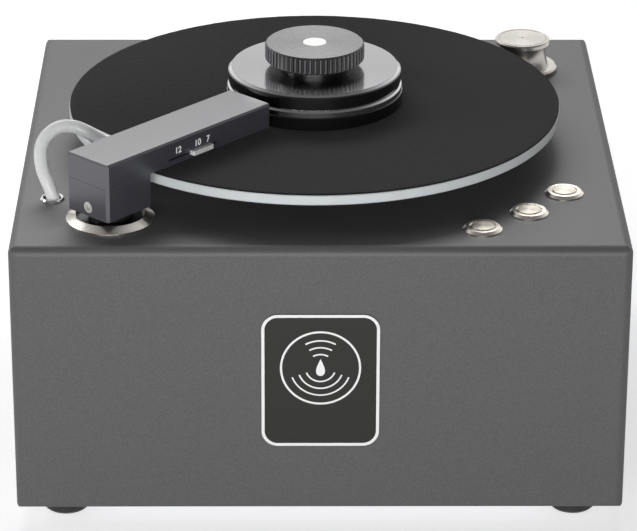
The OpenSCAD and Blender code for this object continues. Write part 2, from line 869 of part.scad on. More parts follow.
module drain_tap() color("#b3392f") {
    tap_y = valve_flange_t + valve_l / 2;
    lift = valve_d / 2 + 0.4;
    translate([drain_x, rear_y + tap_y, drain_z]) {
        translate([0, 0, tap_stem_d / 2]) cylinder(d = tap_stem_d, h = lift);
        translate([0, 0, lift]) linear_extrude(tap_t) {
            circle(d = tap_hub_d);
            translate([0, -tap_w / 2]) square([tap_l - tap_w / 2, tap_w]);
            translate([tap_l - tap_w / 2, 0]) circle(d = tap_w);
        }
    }
}

// Drive

module bearing_housing() color("#a7a9ab") {
    at(axis_at) difference() {
        union() {
            tube(bearing_flange_d / 2, bush_d / 2 + seat_gap, under_z - bearing_flange_t, under_z);
            tube(bearing_d / 2, bush_d / 2 + seat_gap, bearing_low, top_z + bearing_up);
        }
        for (a = [0, 120, 240]) rotate([0, 0, a])
            translate([pillar_ring, 0, under_z - bearing_flange_t - 1]) cylinder(d = m3_d + 0.2, h = 5);
    }
}

module bearing_bush() color("#b07f45") {
    at(axis_at) tube(bush_d / 2, shaft_r + run_gap, bearing_low, top_z + bearing_up);
}

module motor_bracket() color("#8c9094") {
    at(axis_at) {
        tube(pillar_ring + pillar_d / 2 + 2, motor_shaft_d / 2 + 4, motor_plate_z, motor_plate_z + plate_t);
        for (a = [0, 120, 240]) rotate([0, 0, a])
            translate([pillar_ring, 0, motor_plate_z + plate_t - 0.5])
            cylinder(d = pillar_d, h = pillar_l - plate_t + 0.5);
    }
}

module gear_motor() color("#6f7276") {
    at(axis_at) difference() {
        union() {
            translate([0, 0, motor_plate_z - gearbox_l]) cylinder(d = gearbox_d, h = gearbox_l);
            translate([0, 0, motor_plate_z - gearbox_l - motor_l]) cylinder(d = motor_d, h = motor_l + 1);
            translate([0, 0, motor_plate_z - gearbox_l - motor_l - motor_tail_l])
                cylinder(d = motor_tail_d, h = motor_tail_l + 1);
        }
        translate([0, 0, motor_plate_z - motor_bore_low])
            cylinder(d = motor_shaft_d + 2 * run_gap, h = motor_bore_low + 1);
    }
}

module motor_shaft() color("#d0d2d4") {
    z = motor_plate_z - motor_shaft_low;
    at(axis_at) translate([0, 0, z]) cylinder(d = motor_shaft_d, h = shaft_meet - shaft_split / 2 - z);
}

module drive_coupling() color("#9a9c9f") {
    at(axis_at) difference() {
        translate([0, 0, coupling_z]) cylinder(d = coupling_d, h = coupling_l);
        translate([0, 0, coupling_z - 1])
            cylinder(d = motor_shaft_d + 2 * seat_gap, h = coupling_l);
        translate([0, 0, shaft_meet]) cylinder(d = shaft_d + 2 * seat_gap, h = coupling_l);
        for (z = [coupling_l / 4, coupling_l * 3 / 4])
            translate([0, 0, coupling_z + z]) rotate([0, 90, 0]) cylinder(d = m3_d, h = coupling_d);
    }
}

module platter_shaft() color("#d0d2d4") {
    z = shaft_meet + shaft_split / 2;
    at(axis_at) translate([0, 0, z]) cylinder(d = shaft_d, h = platter_z - z);
}

module platter_hub() color("#aeb0b2") {
    skirt_z = platter_z - hub_t - hub_skirt;
    at(axis_at) difference() {
        union() {
            translate([0, 0, platter_z - hub_t]) cylinder(d = hub_d, h = hub_t);
            translate([0, 0, skirt_z]) cylinder(d = hub_skirt_d, h = hub_skirt + 1);
            translate([0, 0, platter_z - 1]) cylinder(d = boss_d, h = platter_t + 1);
        }
        translate([0, 0, skirt_z - 1]) cylinder(d = shaft_d + 2 * seat_gap, h = hub_skirt + hub_t + 1);
        translate([0, 0, platter_z - 1]) cylinder(d = spindle_d + 2 * seat_gap, h = platter_t + 2);
    }
}

module platter() color("#dfe3e4") {
    at(axis_at) rotate_extrude($fn = 180) difference() {
        translate([boss_d / 2 + 0.1, platter_z]) square([platter_r - boss_d / 2 - 0.1, platter_t]);
        translate([platter_r, platter_z]) rotate(45) square(0.8, center = true);
        translate([platter_r, platter_z + platter_t]) rotate(45) square(0.8, center = true);
    }
}

module mat() color("#232324") {
    at(axis_at) tube(platter_r - mat_inset, spindle_d / 2 + 0.3, mat_z, deck_z);
}

module spindle() color("#d5d6d8") {
    r = spindle_d / 2;
    tip = 1.6;
    at(axis_at) turned([[0, platter_z + seat_gap], [r, platter_z + seat_gap], [r, spindle_top - tip],
        [r - 1.4, spindle_top], [0, spindle_top]]);
}

// Clamp

module clamp_base() color("#141415") {
    r = base_d / 2;
    bore_r = clamp_bore_d / 2;
    at(axis_at) turned([[bore_r, deck_z], [r - 0.6, deck_z], [r, deck_z + 0.6], [r, band_z - 0.6],
        [r - 0.6, band_z], [bore_r, band_z]]);
}

module clamp_disc() color("#3b3c3e") {
    at(axis_at) difference() {
        turned([[0, band_z], [band_d / 2, band_z], [band_d / 2, groove_z - 1], [band_d / 2 - 1, groove_z],
            [groove_d / 2, groove_z], [groove_d / 2, disc_z], [disc_d / 2, disc_z],
            [disc_d / 2, neck_z - disc_c], [disc_d / 2 - disc_c, neck_z], [0, neck_z]]);
        translate([0, 0, band_z - 1]) cylinder(d = clamp_bore_d, h = neck_z - band_z + 2);
    }
}

// Radius of the knob at point i of its fluted outline: a narrow flat ridge, then a hollow
function flute_r(i) = let (u = (i % flute_points - 1) / (flute_points - 1))
    knob_d / 2 - (u > 0 ? flute_depth * (1 - pow(2 * u - 1, 2)) : 0);

module clamp_knob() color("#4a4b4d") {
    steps = flutes * flute_points;
    r = knob_d / 2;
    top = knob_z + knob_h;
    at(axis_at) difference() {
        union() {
            intersection() {
                translate([0, 0, knob_z]) linear_extrude(knob_h) polygon([for (i = [0:steps - 1])
                    flute_r(i) * [cos(360 * i / steps), sin(360 * i / steps)]]);
                turned([[0, knob_z], [r - 1.4, knob_z], [r + 0.1, knob_z + 1.5], [r + 0.1, top - 1.3],
                    [r - 1.3, top], [0, top]]);
            }
            translate([0, 0, neck_z]) cylinder(d = neck_d, h = neck_h + 1);
        }
        translate([0, 0, neck_z - 1]) cylinder(d = clamp_bore_d, h = spindle_top - neck_z + 2);
        translate([0, 0, top - insert_t]) cylinder(d = insert_d + 2 * seat_gap, h = insert_t + 1);
    }
}

module knob_insert() color("#e6e6e4") {
    top = knob_z + knob_h;
    r = insert_d / 2;
    at(axis_at) turned([[0, top - insert_t], [r, top - insert_t], [r, top - 0.3], [r - 0.3, top],
        [0, top]]);
}

// Arm

module arm_flange() color("#c4c4c2") {
    r = flange_d / 2;
    at(arm_at) turned([[r - flange_w, top_z], [r, top_z], [r, top_z + flange_edge],
        [r - flange_w + flange_edge / 2, top_z + flange_h], [r - flange_w, top_z + flange_h]]);
}

module arm_housing() color("#1b1b1c") {
    disc_r = flange_d / 2 - flange_w - seat_gap;
    at(arm_at) difference() {
        union() {
            translate([0, 0, top_z]) cylinder(r = disc_r, h = housing_lip);
            translate([0, 0, housing_low]) cylinder(r = housing_r, h = housing_l + housing_lip / 2);
        }
        translate([0, 0, housing_low - 1]) cylinder(r = sleeve_r + run_gap, h = housing_l + 3);
        translate([0, 0, housing_low - 1])
            cylinder(r = collar_r + run_gap, h = collar_z + collar_t + run_gap - housing_low + 1);
    }
}

module housing_cap() color("#2a2a2b") {
    at(arm_at) difference() {
        union() {
            translate([0, 0, housing_low - 2]) cylinder(r = housing_r, h = 2);
            translate([0, 0, housing_low - 1]) cylinder(r = collar_r, h = housing_cap_t);
        }
        translate([0, 0, housing_low - 3]) cylinder(r = post_r - 2, h = housing_cap_t + 5);
    }
}

module arm_sleeve() color("#2b2b2d") {
    at(arm_at) difference() {
        union() {
            translate([0, 0, collar_z]) cylinder(r = sleeve_r, h = sleeve_l);
            translate([0, 0, collar_z]) cylinder(r = collar_r, h = collar_t);
        }
        translate([0, 0, collar_z - 1]) cylinder(r = post_r + run_gap, h = sleeve_l + 2);
    }
}

module arm_spring() color("#a9abad") {
    at(arm_at) tube(collar_r - 1.5, collar_r - 3.3, housing_low + housing_cap_t - 1, collar_z);
}

module arm_post() color("#303033") {
    low = collar_z - 1;
    at(arm_at) {
        translate([0, 0, low]) cylinder(r = post_r, h = block_z + post_stub - low);
        translate([0, 0, seat_up]) cylinder(d = hub_ring_d, h = block_z - seat_up);
    }
}

module arm_block() color("#4b4d52") {
    arm_frame() difference() {
        cut_block([-bar_tail, -bar_w / 2, block_z], [block_l - bar_tail, bar_w / 2, bar_z], bar_c, block_c);
        translate([0, 0, block_z - 1]) cylinder(r = post_r + seat_gap, h = post_stub + 1.3);
        translate([-bar_tail - 1, 0, block_z + screw_up]) rotate([0, 90, 0])
            cylinder(d = set_screw_d + 2 * hole_gap, h = bar_tail - post_r + 1);
    }
}

module arm_screw() color("#c9cacb") {
    arm_frame() translate([-bar_tail + 0.4, 0, block_z + screw_up]) rotate([0, 90, 0]) difference() {
        cylinder(d = set_screw_d, h = bar_tail - post_r - 1);
        translate([0, 0, -1]) cylinder(d = hex_s / cos(30), h = 3.5, $fn = 6);
    }
}

module arm_bar() color("#55575c") {
    half = bar_w / 2;
    slot_start = slot_end - slot_l;
    arm_frame() difference() {
        cut_block([-bar_tail, -half, bar_z], [bar_reach, half, bar_z + bar_h], bar_c, bar_top_c);
        translate([pad_start, -channel_w / 2, channel_z])
            cube([bar_reach - channel_end - pad_start, channel_w, channel_h]);
        translate([pad_start + 4, -nozzle_w / 2, bar_z - 1])
            cube([bar_reach - pad_start - 4 - pad_end - 4, nozzle_w, 4]);
        translate([slot_start, -half - 1, slot_z - slot_h / 2]) cube([slot_l, half - 4, slot_h]);
        translate([barb_at, 0, barb_z]) rotate([-90, 0, 0]) cylinder(d = barb_bore, h = half + 1);
    }
}

module arm_pads() color("#101012") {
    arm_frame() for (s = [-1, 1])
        translate([pad_start, s * (nozzle_w / 2 + 0.5 + pad_w / 2) - pad_w / 2, bar_z - pad_t])
            cube([bar_reach - pad_start - pad_end, pad_w, pad_t]);
}

module size_slider() color("#cfd0d1") {
    half = bar_w / 2;
    arm_frame() {
        translate([slider_at, -half - 0.1, slot_z]) rotate([90, 0, 0]) intersection() {
            linear_extrude(slider_out) cut_rect(slider_l, slider_h, 0.3);
            translate([0, slider_h / 2, 0]) rotate([90, 0, 0]) linear_extrude(slider_h)
                polygon([[-slider_l / 2, 0], [slider_l / 2, 0], [slider_l / 2, slider_out - slider_c],
                    [slider_l / 2 - slider_c, slider_out], [-slider_l / 2 + slider_c, slider_out],
                    [-slider_l / 2, slider_out - slider_c]]);
        }
        translate([slider_at - stem_l / 2, -half - 1, slot_z - stem_h / 2])
            cube([stem_l, half - channel_w / 2 + 4, stem_h]);
        translate([slider_at - tongue_l / 2, -channel_w / 2 + slide_gap, channel_z + 0.2])
            cube([tongue_l, channel_w - 2 * slide_gap, slot_z - channel_z - 0.2 + stem_h / 2]);
    }
}

module hose_barb() color("#b8babc") {
    arm_frame() translate([barb_at, bar_w / 2, barb_z]) rotate([-90, 0, 0]) difference() {
        turned([[0, 0], [barb_d / 2, 0], [barb_d / 2, barb_l - 1], [barb_d / 2 - 0.6, barb_l],
            [0, barb_l]]);
        translate([0, 0, -1]) cylinder(d = 3.6, h = barb_l + 2);
    }
}

// Hose

function unit(v) = v / norm(v);
function route_at(i) = hose_route[max(0, min(len(hose_route) - 1, i))];
function heading(i) = unit(route_at(i + 1) - route_at(i - 1));
// The ring's first direction, carried from ring to ring so that the tube doesn't twist
function carried(i) = i == 0 ? [1, 0, 0]
    : let (h = heading(i), c = carried(i - 1)) unit(c - (c * h) * h);
function ring(i) = let (u = carried(i), v = cross(heading(i), u))
    [for (k = [0:hose_sides - 1]) route_at(i)
        + hose_d / 2 * (cos(360 * k / hose_sides) * u + sin(360 * k / hose_sides) * v)];

module suction_hose() color("#d9dcdb") {
    n = len(hose_route);
    s = hose_sides;
    points = [for (i = [0:n - 1]) each ring(i)];
    sides = [for (i = [0:n - 2], k = [0:s - 1]) let (a = i * s + k, b = i * s + (k + 1) % s)
        each [[a, a + s, b], [b, a + s, b + s]]];
    ends = [for (k = [1:s - 2]) each [[0, k, k + 1], [(n - 1) * s, (n - 1) * s + k + 1, (n - 1) * s + k]]];
    at(grommet_at) translate([0, 0, top_z]) polyhedron(points, concat(sides, ends));
}

module grommet() color("#d8d8d6") {
    r = grommet_d / 2;
    b = grommet_bore / 2;
    at(grommet_at) turned([[b, top_z - sheet_t - 1], [b + 0.8, top_z - sheet_t - 1], [b + 0.8, top_z],
        [r, top_z], [r, top_z + 0.6], [r - 0.8, top_z + 1.5], [b + 0.6, top_z + 1.5], [b, top_z + 0.9]]);
}

// Tank

module waste_tank() color("#d7dcdc") {
    h = lid_z - floor_z;
    translate([tank_at[0], tank_at[1], floor_z]) difference() {
        linear_extrude(h) round_rect(tank_w, tank_l, tank_r);
        translate([0, 0, tank_wall]) linear_extrude(h)
            round_rect(tank_w - 2 * tank_wall, tank_l - 2 * tank_wall, tank_r - tank_wall);
        tank_spigots(spigot_bore, drain_pipe_d - 3, 1);
    }
    translate([tank_at[0], tank_at[1], floor_z]) difference() {
        tank_spigots(spigot_d, drain_pipe_d, 0);
        tank_spigots(spigot_bore, drain_pipe_d - 3, 1);
    }
}

// The outlets to the fan and to the drain, longer by extra at each end
module tank_spigots(fan_side_d, drain_side_d, extra) {
    y = tank_l / 2 - tank_wall - extra + 0.5;
    l = spigot_l + tank_wall + 2 * extra;
    along_y(fan_x - tank_at[0], y, fan_z - floor_z) cylinder(d = fan_side_d, h = l);
    along_y(drain_x - tank_at[0], y, drain_z - floor_z) cylinder(d = drain_side_d, h = l);
}

module tank_lid() color("#3c4043") {
    rod_low = floor_z + tank_wall + rod_end;
    difference() {
        union() {
            translate([tank_at[0], tank_at[1], lid_z]) linear_extrude(lid_t)
                round_rect(tank_w, tank_l, tank_r);
            translate([tank_at[0], tank_at[1], lid_z - 3]) linear_extrude(4)
                round_rect(tank_w - 2 * tank_wall - 2 * slide_gap, tank_l - 2 * tank_wall - 2 * slide_gap,
                    tank_r - tank_wall);
            at(grommet_at) translate([0, 0, lid_z + lid_t - 1])
                cylinder(d = inlet_spigot_d, h = inlet_spigot_l + 1);
            at(float_at) translate([0, 0, rod_low]) cylinder(d = rod_d, h = lid_z - rod_low);
        }
        at(grommet_at) translate([0, 0, lid_z - 5])
            cylinder(d = small_bore, h = lid_t + inlet_spigot_l + 6);
    }
}

module level_float() color("#e07b39") {
    z = floor_z + tank_wall + float_low;
    at(float_at) tube(float_d / 2, rod_d / 2 + float_room, z, z + float_h);
}

module inner_hoses() color("#cfd3d3") {
    wall = inner_hose_wall;
    along_y(fan_x, tank_back_y, fan_z)
        tube(spigot_d / 2 + 0.1 + wall, spigot_d / 2 + 0.1, 0.1, fan_hose_l - 0.1);
    drain_l = inner_rear_y - tank_back_y - 1;
    along_y(drain_x, tank_back_y, drain_z)
        tube(drain_pipe_d / 2 + 0.1 + wall, drain_pipe_d / 2 + 0.1, 0.1, drain_l);
}

// Fan

module turbine_housing() color("#5d6165") {
    along_y(fan_x, fan_y, fan_z) difference() {
        union() {
            cylinder(d = fan_d, h = fan_l);
            translate([0, 0, -spigot_l]) cylinder(d = spigot_d, h = spigot_l + 1);
        }
        translate([0, 0, fan_wall]) cylinder(d = fan_d - 2 * fan_wall, h = fan_l);
        translate([0, 0, -spigot_l - 1]) cylinder(d = spigot_bore, h = spigot_l + fan_wall + 2);
        rotate([0, 0, 180]) translate([outlet_at, -fan_d / 2 - 1, (fan_l - outlet_w) / 2])
            cube([outlet_l, fan_d / 4, outlet_w]);
    }
}

module turbine_motor() color("#777b7f") {
    along_y(fan_x, fan_y + fan_l, fan_z) difference() {
        union() {
            cylinder(d = fan_d, h = fan_flange_t);
            translate([0, 0, fan_flange_t - 1]) cylinder(d = fan_motor_d, h = fan_motor_l + 1);
        }
        translate([0, 0, -1]) cylinder(d = fan_shaft_d + 2 * run_gap, h = fan_shaft_l + 1);
    }
}

module turbine_cradle() color("#26282a") {
    difference() {
        translate([fan_x - cradle_w / 2, fan_y + fan_l / 2 - cradle_l / 2, floor_z])
            cube([cradle_w, cradle_l, fan_z - floor_z - fan_d / 2 + cradle_up]);
        along_y(fan_x, fan_y, fan_z) cylinder(d = fan_d + 2 * cradle_gap, h = fan_l);
    }
}

module impeller() color("#b4b7ba") {
    r = fan_d / 2 - fan_wall - impeller_gap;
    back = fan_l - impeller_gap;
    span = fan_l - fan_wall - 2 * impeller_gap;
    along_y(fan_x, fan_y, fan_z) {
        translate([0, 0, back - 2]) cylinder(r = r, h = 2);
        translate([0, 0, back - span]) cylinder(d = wheel_hub_d, h = span);
        translate([0, 0, back - 1]) cylinder(d = fan_shaft_d, h = fan_shaft_l - 0.5 + impeller_gap);
        for (i = [0:blades - 1]) rotate([0, 0, 360 * i / blades])
            translate([wheel_hub_d / 2 - 1, -blade_t / 2, back - span])
                cube([r - wheel_hub_d / 2, blade_t, span - 1]);
    }
}

// Electrics

module power_supply() color("#9da0a3") {
    difference() {
        translate([supply_at[0], supply_at[1], floor_z]) linear_extrude(supply_h)
            round_rect(supply_w, supply_l, 3);
        vent_row() translate([supply_at[0], supply_at[1] - supply_l / 4, floor_z + supply_h - 2])
            cube([vent_w, supply_l / 2, 3]);
    }
}

module control_board() color("#2f6b45") {
    z = floor_z + stud_h;
    translate([board_at[0], board_at[1], z]) {
        linear_extrude(board_t) round_rect(board_w, board_l, 2);
        for (i = [-1:1]) translate([i * relay_l - relay_w / 2, -relay_l / 4, 1])
            cube([relay_w, relay_l, relay_h]);
        translate([terminal_inset - board_w / 2, terminal_inset / 2 - board_l / 2, 1])
            cube([board_w - 2 * terminal_inset, terminal_l, terminal_h]);
    }
}

// A wire as straight runs with round joints
module wire(d, points) {
    for (i = [0:len(points) - 2]) {
        v = points[i + 1] - points[i];
        translate(points[i]) rotate([0, acos(v[2] / norm(v)), atan2(v[1], v[0])])
            cylinder(d = d, h = norm(v));
        if (i > 0) translate(points[i]) sphere(d = d);
    }
}

module wiring() color("#a33a2e") {
    d = wire_d;
    low = floor_z + supply_h / 4;
    supply_front = supply_at[1] - supply_l / 2;
    board_back = board_at[1] + board_l / 2;
    up = floor_z + stud_h + board_t / 2;
    wire(d, [[board_at[0], board_back, up], [board_at[0], supply_front, up]]);
    wire(d, [[board_at[0] + wire_step, board_back, up], [board_at[0] + wire_step, supply_front, up]]);
    inlet_front = rear_y + panel_t - inlet_body_l;
    bend_y = inlet_front - inlet_body_h / 3;
    drop = panel_mid - inlet_body_h / 3;
    wire(d, [[supply_at[0], supply_at[1] + supply_l / 2, low], [supply_at[0], bend_y, low],
        [supply_at[0], bend_y, drop], [supply_at[0], inlet_front, drop]]);
    motor_z = motor_plate_z - gearbox_l - motor_l * 0.8;
    left = board_at[0] - board_w / 2;
    wire(d, [[left, board_at[1], up], [axis_at[0] + motor_wire_x, board_at[1], up],
        [axis_at[0] + motor_wire_x, axis_at[1], up], [axis_at[0] + motor_wire_x, axis_at[1], motor_z],
        [axis_at[0] + motor_d / 2, axis_at[1], motor_z]]);
}

// Buttons

module button_bezels() color("#c9c9c7") {
    for (i = [0:2]) at(button_at(i)) difference() {
        union() {
            turned([[0, top_z], [bezel_d / 2, top_z], [bezel_d / 2, top_z + 0.6],
                [bezel_d / 2 - 1.6, top_z + bezel_h], [0, top_z + bezel_h]]);
            translate([0, 0, top_z - barrel_l]) cylinder(d = barrel_d, h = barrel_l + 1);
        }
        translate([0, 0, top_z - well_l]) cylinder(d = button_d + 2 * run_gap, h = well_l + bezel_h + 1);
        translate([0, 0, top_z + bezel_h - bezel_c])
            cylinder(r1 = button_d / 2 + run_gap, r2 = button_d / 2 + run_gap + 2 * bezel_c, h = 2 * bezel_c);
    }
}

module button_nuts() color("#b5b7b9") {
    for (i = [0:2]) at(button_at(i)) translate([0, 0, under_z - nut_t]) difference() {
        cylinder(d = nut_d, h = nut_t, $fn = 6);
        translate([0, 0, -1]) cylinder(d = barrel_d + 2 * run_gap, h = nut_t + 2);
    }
}

module button_cap(i) color("#d3d3d0") {
    r = button_d / 2;
    top = top_z + bezel_h + cap_up;
    at(button_at(i)) {
        turned([[0, top - cap_l], [r, top - cap_l], [r, top - 0.5], [r - 0.5, top], [0, top]]);
        translate([0, 0, top_z - well_l + button_travel + 0.8])
            cylinder(d = plunger_d, h = well_l + bezel_h + cap_up - cap_l - button_travel - 0.3);
    }
}

module rotation_button() button_cap(0);

module motor_button() button_cap(1);

module vacuum_button() button_cap(2);

module button_springs() color("#a9abad") {
    for (i = [0:2]) at(button_at(i))
        tube(spring_d / 2, spring_d / 2 - spring_wall, top_z - well_l, top_z + bezel_h + cap_up - cap_l);
}

// Port

module port_flange() color("#c4c4c2") {
    r = port_flange_d / 2;
    at(port_at) difference() {
        union() {
            turned([[0, top_z], [r, top_z], [r, top_z + port_flange_h - 1], [r - 1, top_z + port_flange_h],
                [0, top_z + port_flange_h]]);
            translate([0, 0, top_z - port_barrel_l]) cylinder(d = port_barrel_d, h = port_barrel_l + 1);
        }
        translate([0, 0, top_z - port_barrel_l - 1])
            cylinder(d = plug_d + 0.2, h = port_barrel_l + port_flange_h + 2);
    }
}

module port_cap() color("#cdcdca") {
    r = cap_d / 2;
    foot = top_z + port_flange_h;
    top = top_z + cap_h;
    disc = top - cap_disc_t;
    at(port_at) {
        rotate_extrude($fn = 96) difference() {
            translate([0, foot]) square([r, cap_h - port_flange_h]);
            intersection() {
                translate([waist_d / 2 + waist_r, top_z + waist_up]) circle(r = waist_r, $fn = 180);
                translate([0, foot - 1]) square([2 * r, disc - foot + 1]);
            }
            translate([r, top]) rotate(45) square(1.1, center = true);
            translate([r - cap_rim, top]) rotate(45) square(0.5, center = true);
            translate([-1, top - 1.5]) square([1.7, 2]);
        }
        translate([0, 0, foot - plug_l]) cylinder(d = plug_d, h = plug_l + 1);
    }
}

case_shell();
bottom_plate();
screws();
feet();
badge_plate();
badge_trim();
rear_panel();
inlet_module();
inlet_pins();
switch_rocker();
drain_valve();
drain_tap();
bearing_housing();
bearing_bush();
motor_bracket();
gear_motor();
motor_shaft();
drive_coupling();
platter_shaft();
platter_hub();
platter();
mat();
spindle();
clamp_base();
clamp_disc();
clamp_knob();
knob_insert();
arm_flange();
arm_housing();
housing_cap();
arm_sleeve();
arm_spring();
arm_post();
arm_block();
arm_screw();
arm_bar();
arm_pads();
size_slider();
hose_barb();
suction_hose();
grommet();
waste_tank();
tank_lid();
level_float();
inner_hoses();
turbine_housing();
turbine_motor();
turbine_cradle();
impeller();
power_supply();
control_board();
wiring();
button_bezels();
button_nuts();
rotation_button();
motor_button();
vacuum_button();
button_springs();
port_flange();
port_cap();
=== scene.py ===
# %% [markdown]
# # A vacuum record cleaning machine
# The solids come from CAD and stay where they are. Here they get their finishes, and the soft pieces
# that CAD can't draw well, such as the felt mat, the velvet pads and the hose, are made as meshes.
# Everything is in metres, in the CAD's own frame.

# %% Load the frame
import math

import bpy
from mathutils import Matrix, Vector, noise


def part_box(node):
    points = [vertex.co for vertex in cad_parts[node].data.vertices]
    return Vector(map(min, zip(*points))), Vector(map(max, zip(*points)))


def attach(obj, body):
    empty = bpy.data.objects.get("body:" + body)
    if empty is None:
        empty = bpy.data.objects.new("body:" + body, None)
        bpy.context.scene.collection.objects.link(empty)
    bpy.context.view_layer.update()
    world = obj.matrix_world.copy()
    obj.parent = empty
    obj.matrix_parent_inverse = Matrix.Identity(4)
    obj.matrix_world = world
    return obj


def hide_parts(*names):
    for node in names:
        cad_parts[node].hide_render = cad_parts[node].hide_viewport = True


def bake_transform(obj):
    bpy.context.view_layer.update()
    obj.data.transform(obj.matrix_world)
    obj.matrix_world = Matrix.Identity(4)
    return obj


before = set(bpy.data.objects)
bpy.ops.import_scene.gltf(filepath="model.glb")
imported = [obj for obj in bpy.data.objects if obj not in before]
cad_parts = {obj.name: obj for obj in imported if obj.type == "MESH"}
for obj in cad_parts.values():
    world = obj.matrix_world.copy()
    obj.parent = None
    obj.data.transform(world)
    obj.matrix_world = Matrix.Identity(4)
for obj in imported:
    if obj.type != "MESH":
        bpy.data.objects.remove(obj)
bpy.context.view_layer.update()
MM = 0.001

# %% [markdown]
# ## The camera
# The photograph was taken with a long lens from the front, a little above the machine. The lens and
# the place come from fitting a camera to the case's edges and the platter's ellipse. The camera's
# axes are built by hand from its pitch, yaw and roll, because that gives the same turn each time.

# %% Camera
IMAGE_W = 637
focal_px = 3430.0
pitch, yaw, roll = math.radians(24.13), math.radians(0.578), math.radians(0.21)
forward = Vector((math.sin(yaw) * math.cos(pitch), math.cos(yaw) * math.cos(pitch), -math.sin(pitch)))
level = Vector((math.cos(yaw), -math.sin(yaw), 0))
upright = level.cross(forward)
right = level * math.cos(roll) + upright * math.sin(roll)
up = upright * math.cos(roll) - level * math.sin(roll)
camera_data = bpy.data.cameras.new("camera")
camera_data.lens = focal_px / IMAGE_W * camera_data.sensor_width
camera = bpy.data.objects.new("camera", camera_data)
bpy.context.scene.collection.objects.link(camera)
turn = Matrix((right, up, -forward)).transposed().to_4x4()
camera.matrix_world = Matrix.Translation(Vector((-19.0, -1933.0, 948.8)) * MM) @ turn
bpy.context.scene.camera = camera
print("lens %.1f mm" % camera_data.lens)

# %% [markdown]
# ## The suction hose
# A limp silicone tube, 7.8 mm across. It comes up from the waste tank through the grommet, bows over
# and is pushed on to the arm's barb, where it stretches. A curve with a bevel would do for the tube,
# but not for the stretched end, so the mesh is swept by hand: a ring of points is carried along a
# smooth line and its radius is a function of the distance left.

# %% Lines and sweeps
def smooth_line(points, steps):
    """A Catmull-Rom line through the points."""
    ends = [2 * points[0] - points[1], *points, 2 * points[-1] - points[-2]]
    line = []
    for a, b, c, d in zip(ends, ends[1:], ends[2:], ends[3:]):
        for i in range(steps):
            t = i / steps
            line.append(0.5 * ((2 * b) + (c - a) * t + (2 * a - 5 * b + 4 * c - d) * t * t
                               + (3 * b - a - 3 * c + d) * t ** 3))
    return [*line, points[-1]]


def mesh_piece(name, points, faces, smooth=True):
    mesh = bpy.data.meshes.new(name)
    mesh.from_pydata([tuple(p) for p in points], [], faces)
    mesh.update()
    if smooth:
        mesh.shade_smooth()
    piece = bpy.data.objects.new(name, mesh)
    bpy.context.scene.collection.objects.link(piece)
    return piece


def swept_tube(name, line, radii, sides=28):
    """A closed tube along a line. Each ring's first direction is carried from the ring before it."""
    points, faces = [], []
    side = Vector((1, 0, 0))
    for i, p in enumerate(line):
        ahead = (line[min(i + 1, len(line) - 1)] - line[max(i - 1, 0)]).normalized()
        side = (side - ahead * side.dot(ahead)).normalized()
        other = ahead.cross(side)
        for k in range(sides):
            a = 2 * math.pi * k / sides
            points.append(p + radii[i] * (side * math.cos(a) + other * math.sin(a)))
    for i in range(len(line) - 1):
        for k in range(sides):
            a, b = i * sides + k, i * sides + (k + 1) % sides
            faces.append((a, b, b + sides, a + sides))
    last = (len(line) - 1) * sides
    faces.append(tuple(range(sides - 1, -1, -1)))
    faces.append(tuple(last + k for k in range(sides)))
    return mesh_piece(name, points, faces)


# %% Hose
low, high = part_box("grommet")
case_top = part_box("case_shell")[1][2]
grommet = Vector(((low[0] + high[0]) / 2, (low[1] + high[1]) / 2, case_top))
HOSE_D = 7.8 * MM
route = [grommet + Vector(p) * MM for p in (
    (0, 0, -38), (0, 0, -24), (0, 0, -10), (0, 0, -3), (0, 0, 2.5), (-2.4, 1.8, 9),
    (-5.2, 4.7, 15.5), (-6.6, 8.2, 22), (-6.4, 11.5, 27.5), (-3.9, 14.5, 32.5), (0.9, 17.3, 36.2),
    (6.5, 19.4, 37.5), (13, 20.4, 36.6), (19, 19.6, 34.4), (24.8, 17.4, 32.2), (30.4, 13.9, 31),
    (36.8, 8, 31))]
on_barb = Vector((0.729, -0.685, 0)) * 5.4 * MM
hose_line = smooth_line([*route, route[-1] + on_barb * 0.5, route[-1] + on_barb], 6)
left = [0.0]
for a, b in zip(hose_line[::-1], hose_line[-2::-1]):
    left.append(left[-1] + (a - b).length)
left.reverse()
stretch = [max(0.0, min(1.0, (8.2 * MM - d) / (2.6 * MM))) for d in left]
radii = [HOSE_D / 2 + 1.25 * MM * s * s * (3 - 2 * s) for s in stretch]
radii[-1] -= 0.3 * MM
hose = swept_tube("milky_hose", hose_line, radii)
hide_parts("suction_hose")
print("hose length %.1f mm" % (left[0] / MM))

# %% [markdown]
# ## Finishes: how a material is written here
# A colour is picked in sRGB, as on a screen, but the shader wants linear light, so one function turns
# the hex value round. Another adds a node with its values and links. A third starts a material with
# the three numbers that matter most: colour, how metallic, how rough.

# %% Helpers for materials
def colour(hexcode):
    parts = [int(hexcode[i:i + 2], 16) / 255 for i in (1, 3, 5)]
    return (*[c / 12.92 if c <= 0.04045 else ((c + 0.055) / 1.055) ** 2.4 for c in parts], 1)


def add(tree, kind, values=None, links=None, **settings):
    made = tree.nodes.new(kind)
    for key, value in settings.items():
        setattr(made, key, value)
    for key, value in (values or {}).items():
        made.inputs[key].default_value = value
    for key, source in (links or {}).items():
        tree.links.new(source, made.inputs[key])
    return made


def finish(name, hexcode, metallic, roughness, **more):
    """A new material with its shader. Underscores in a socket's name stand for blanks."""
    mat = bpy.data.materials.new(name)
    mat.use_nodes = True
    shader = mat.node_tree.nodes["Principled BSDF"]
    values = {"Base_Color": colour(hexcode), "Metallic": metallic, "Roughness": roughness, **more}
    for key, value in values.items():
        shader.inputs[key.replace("_", " ")].default_value = value
    return mat


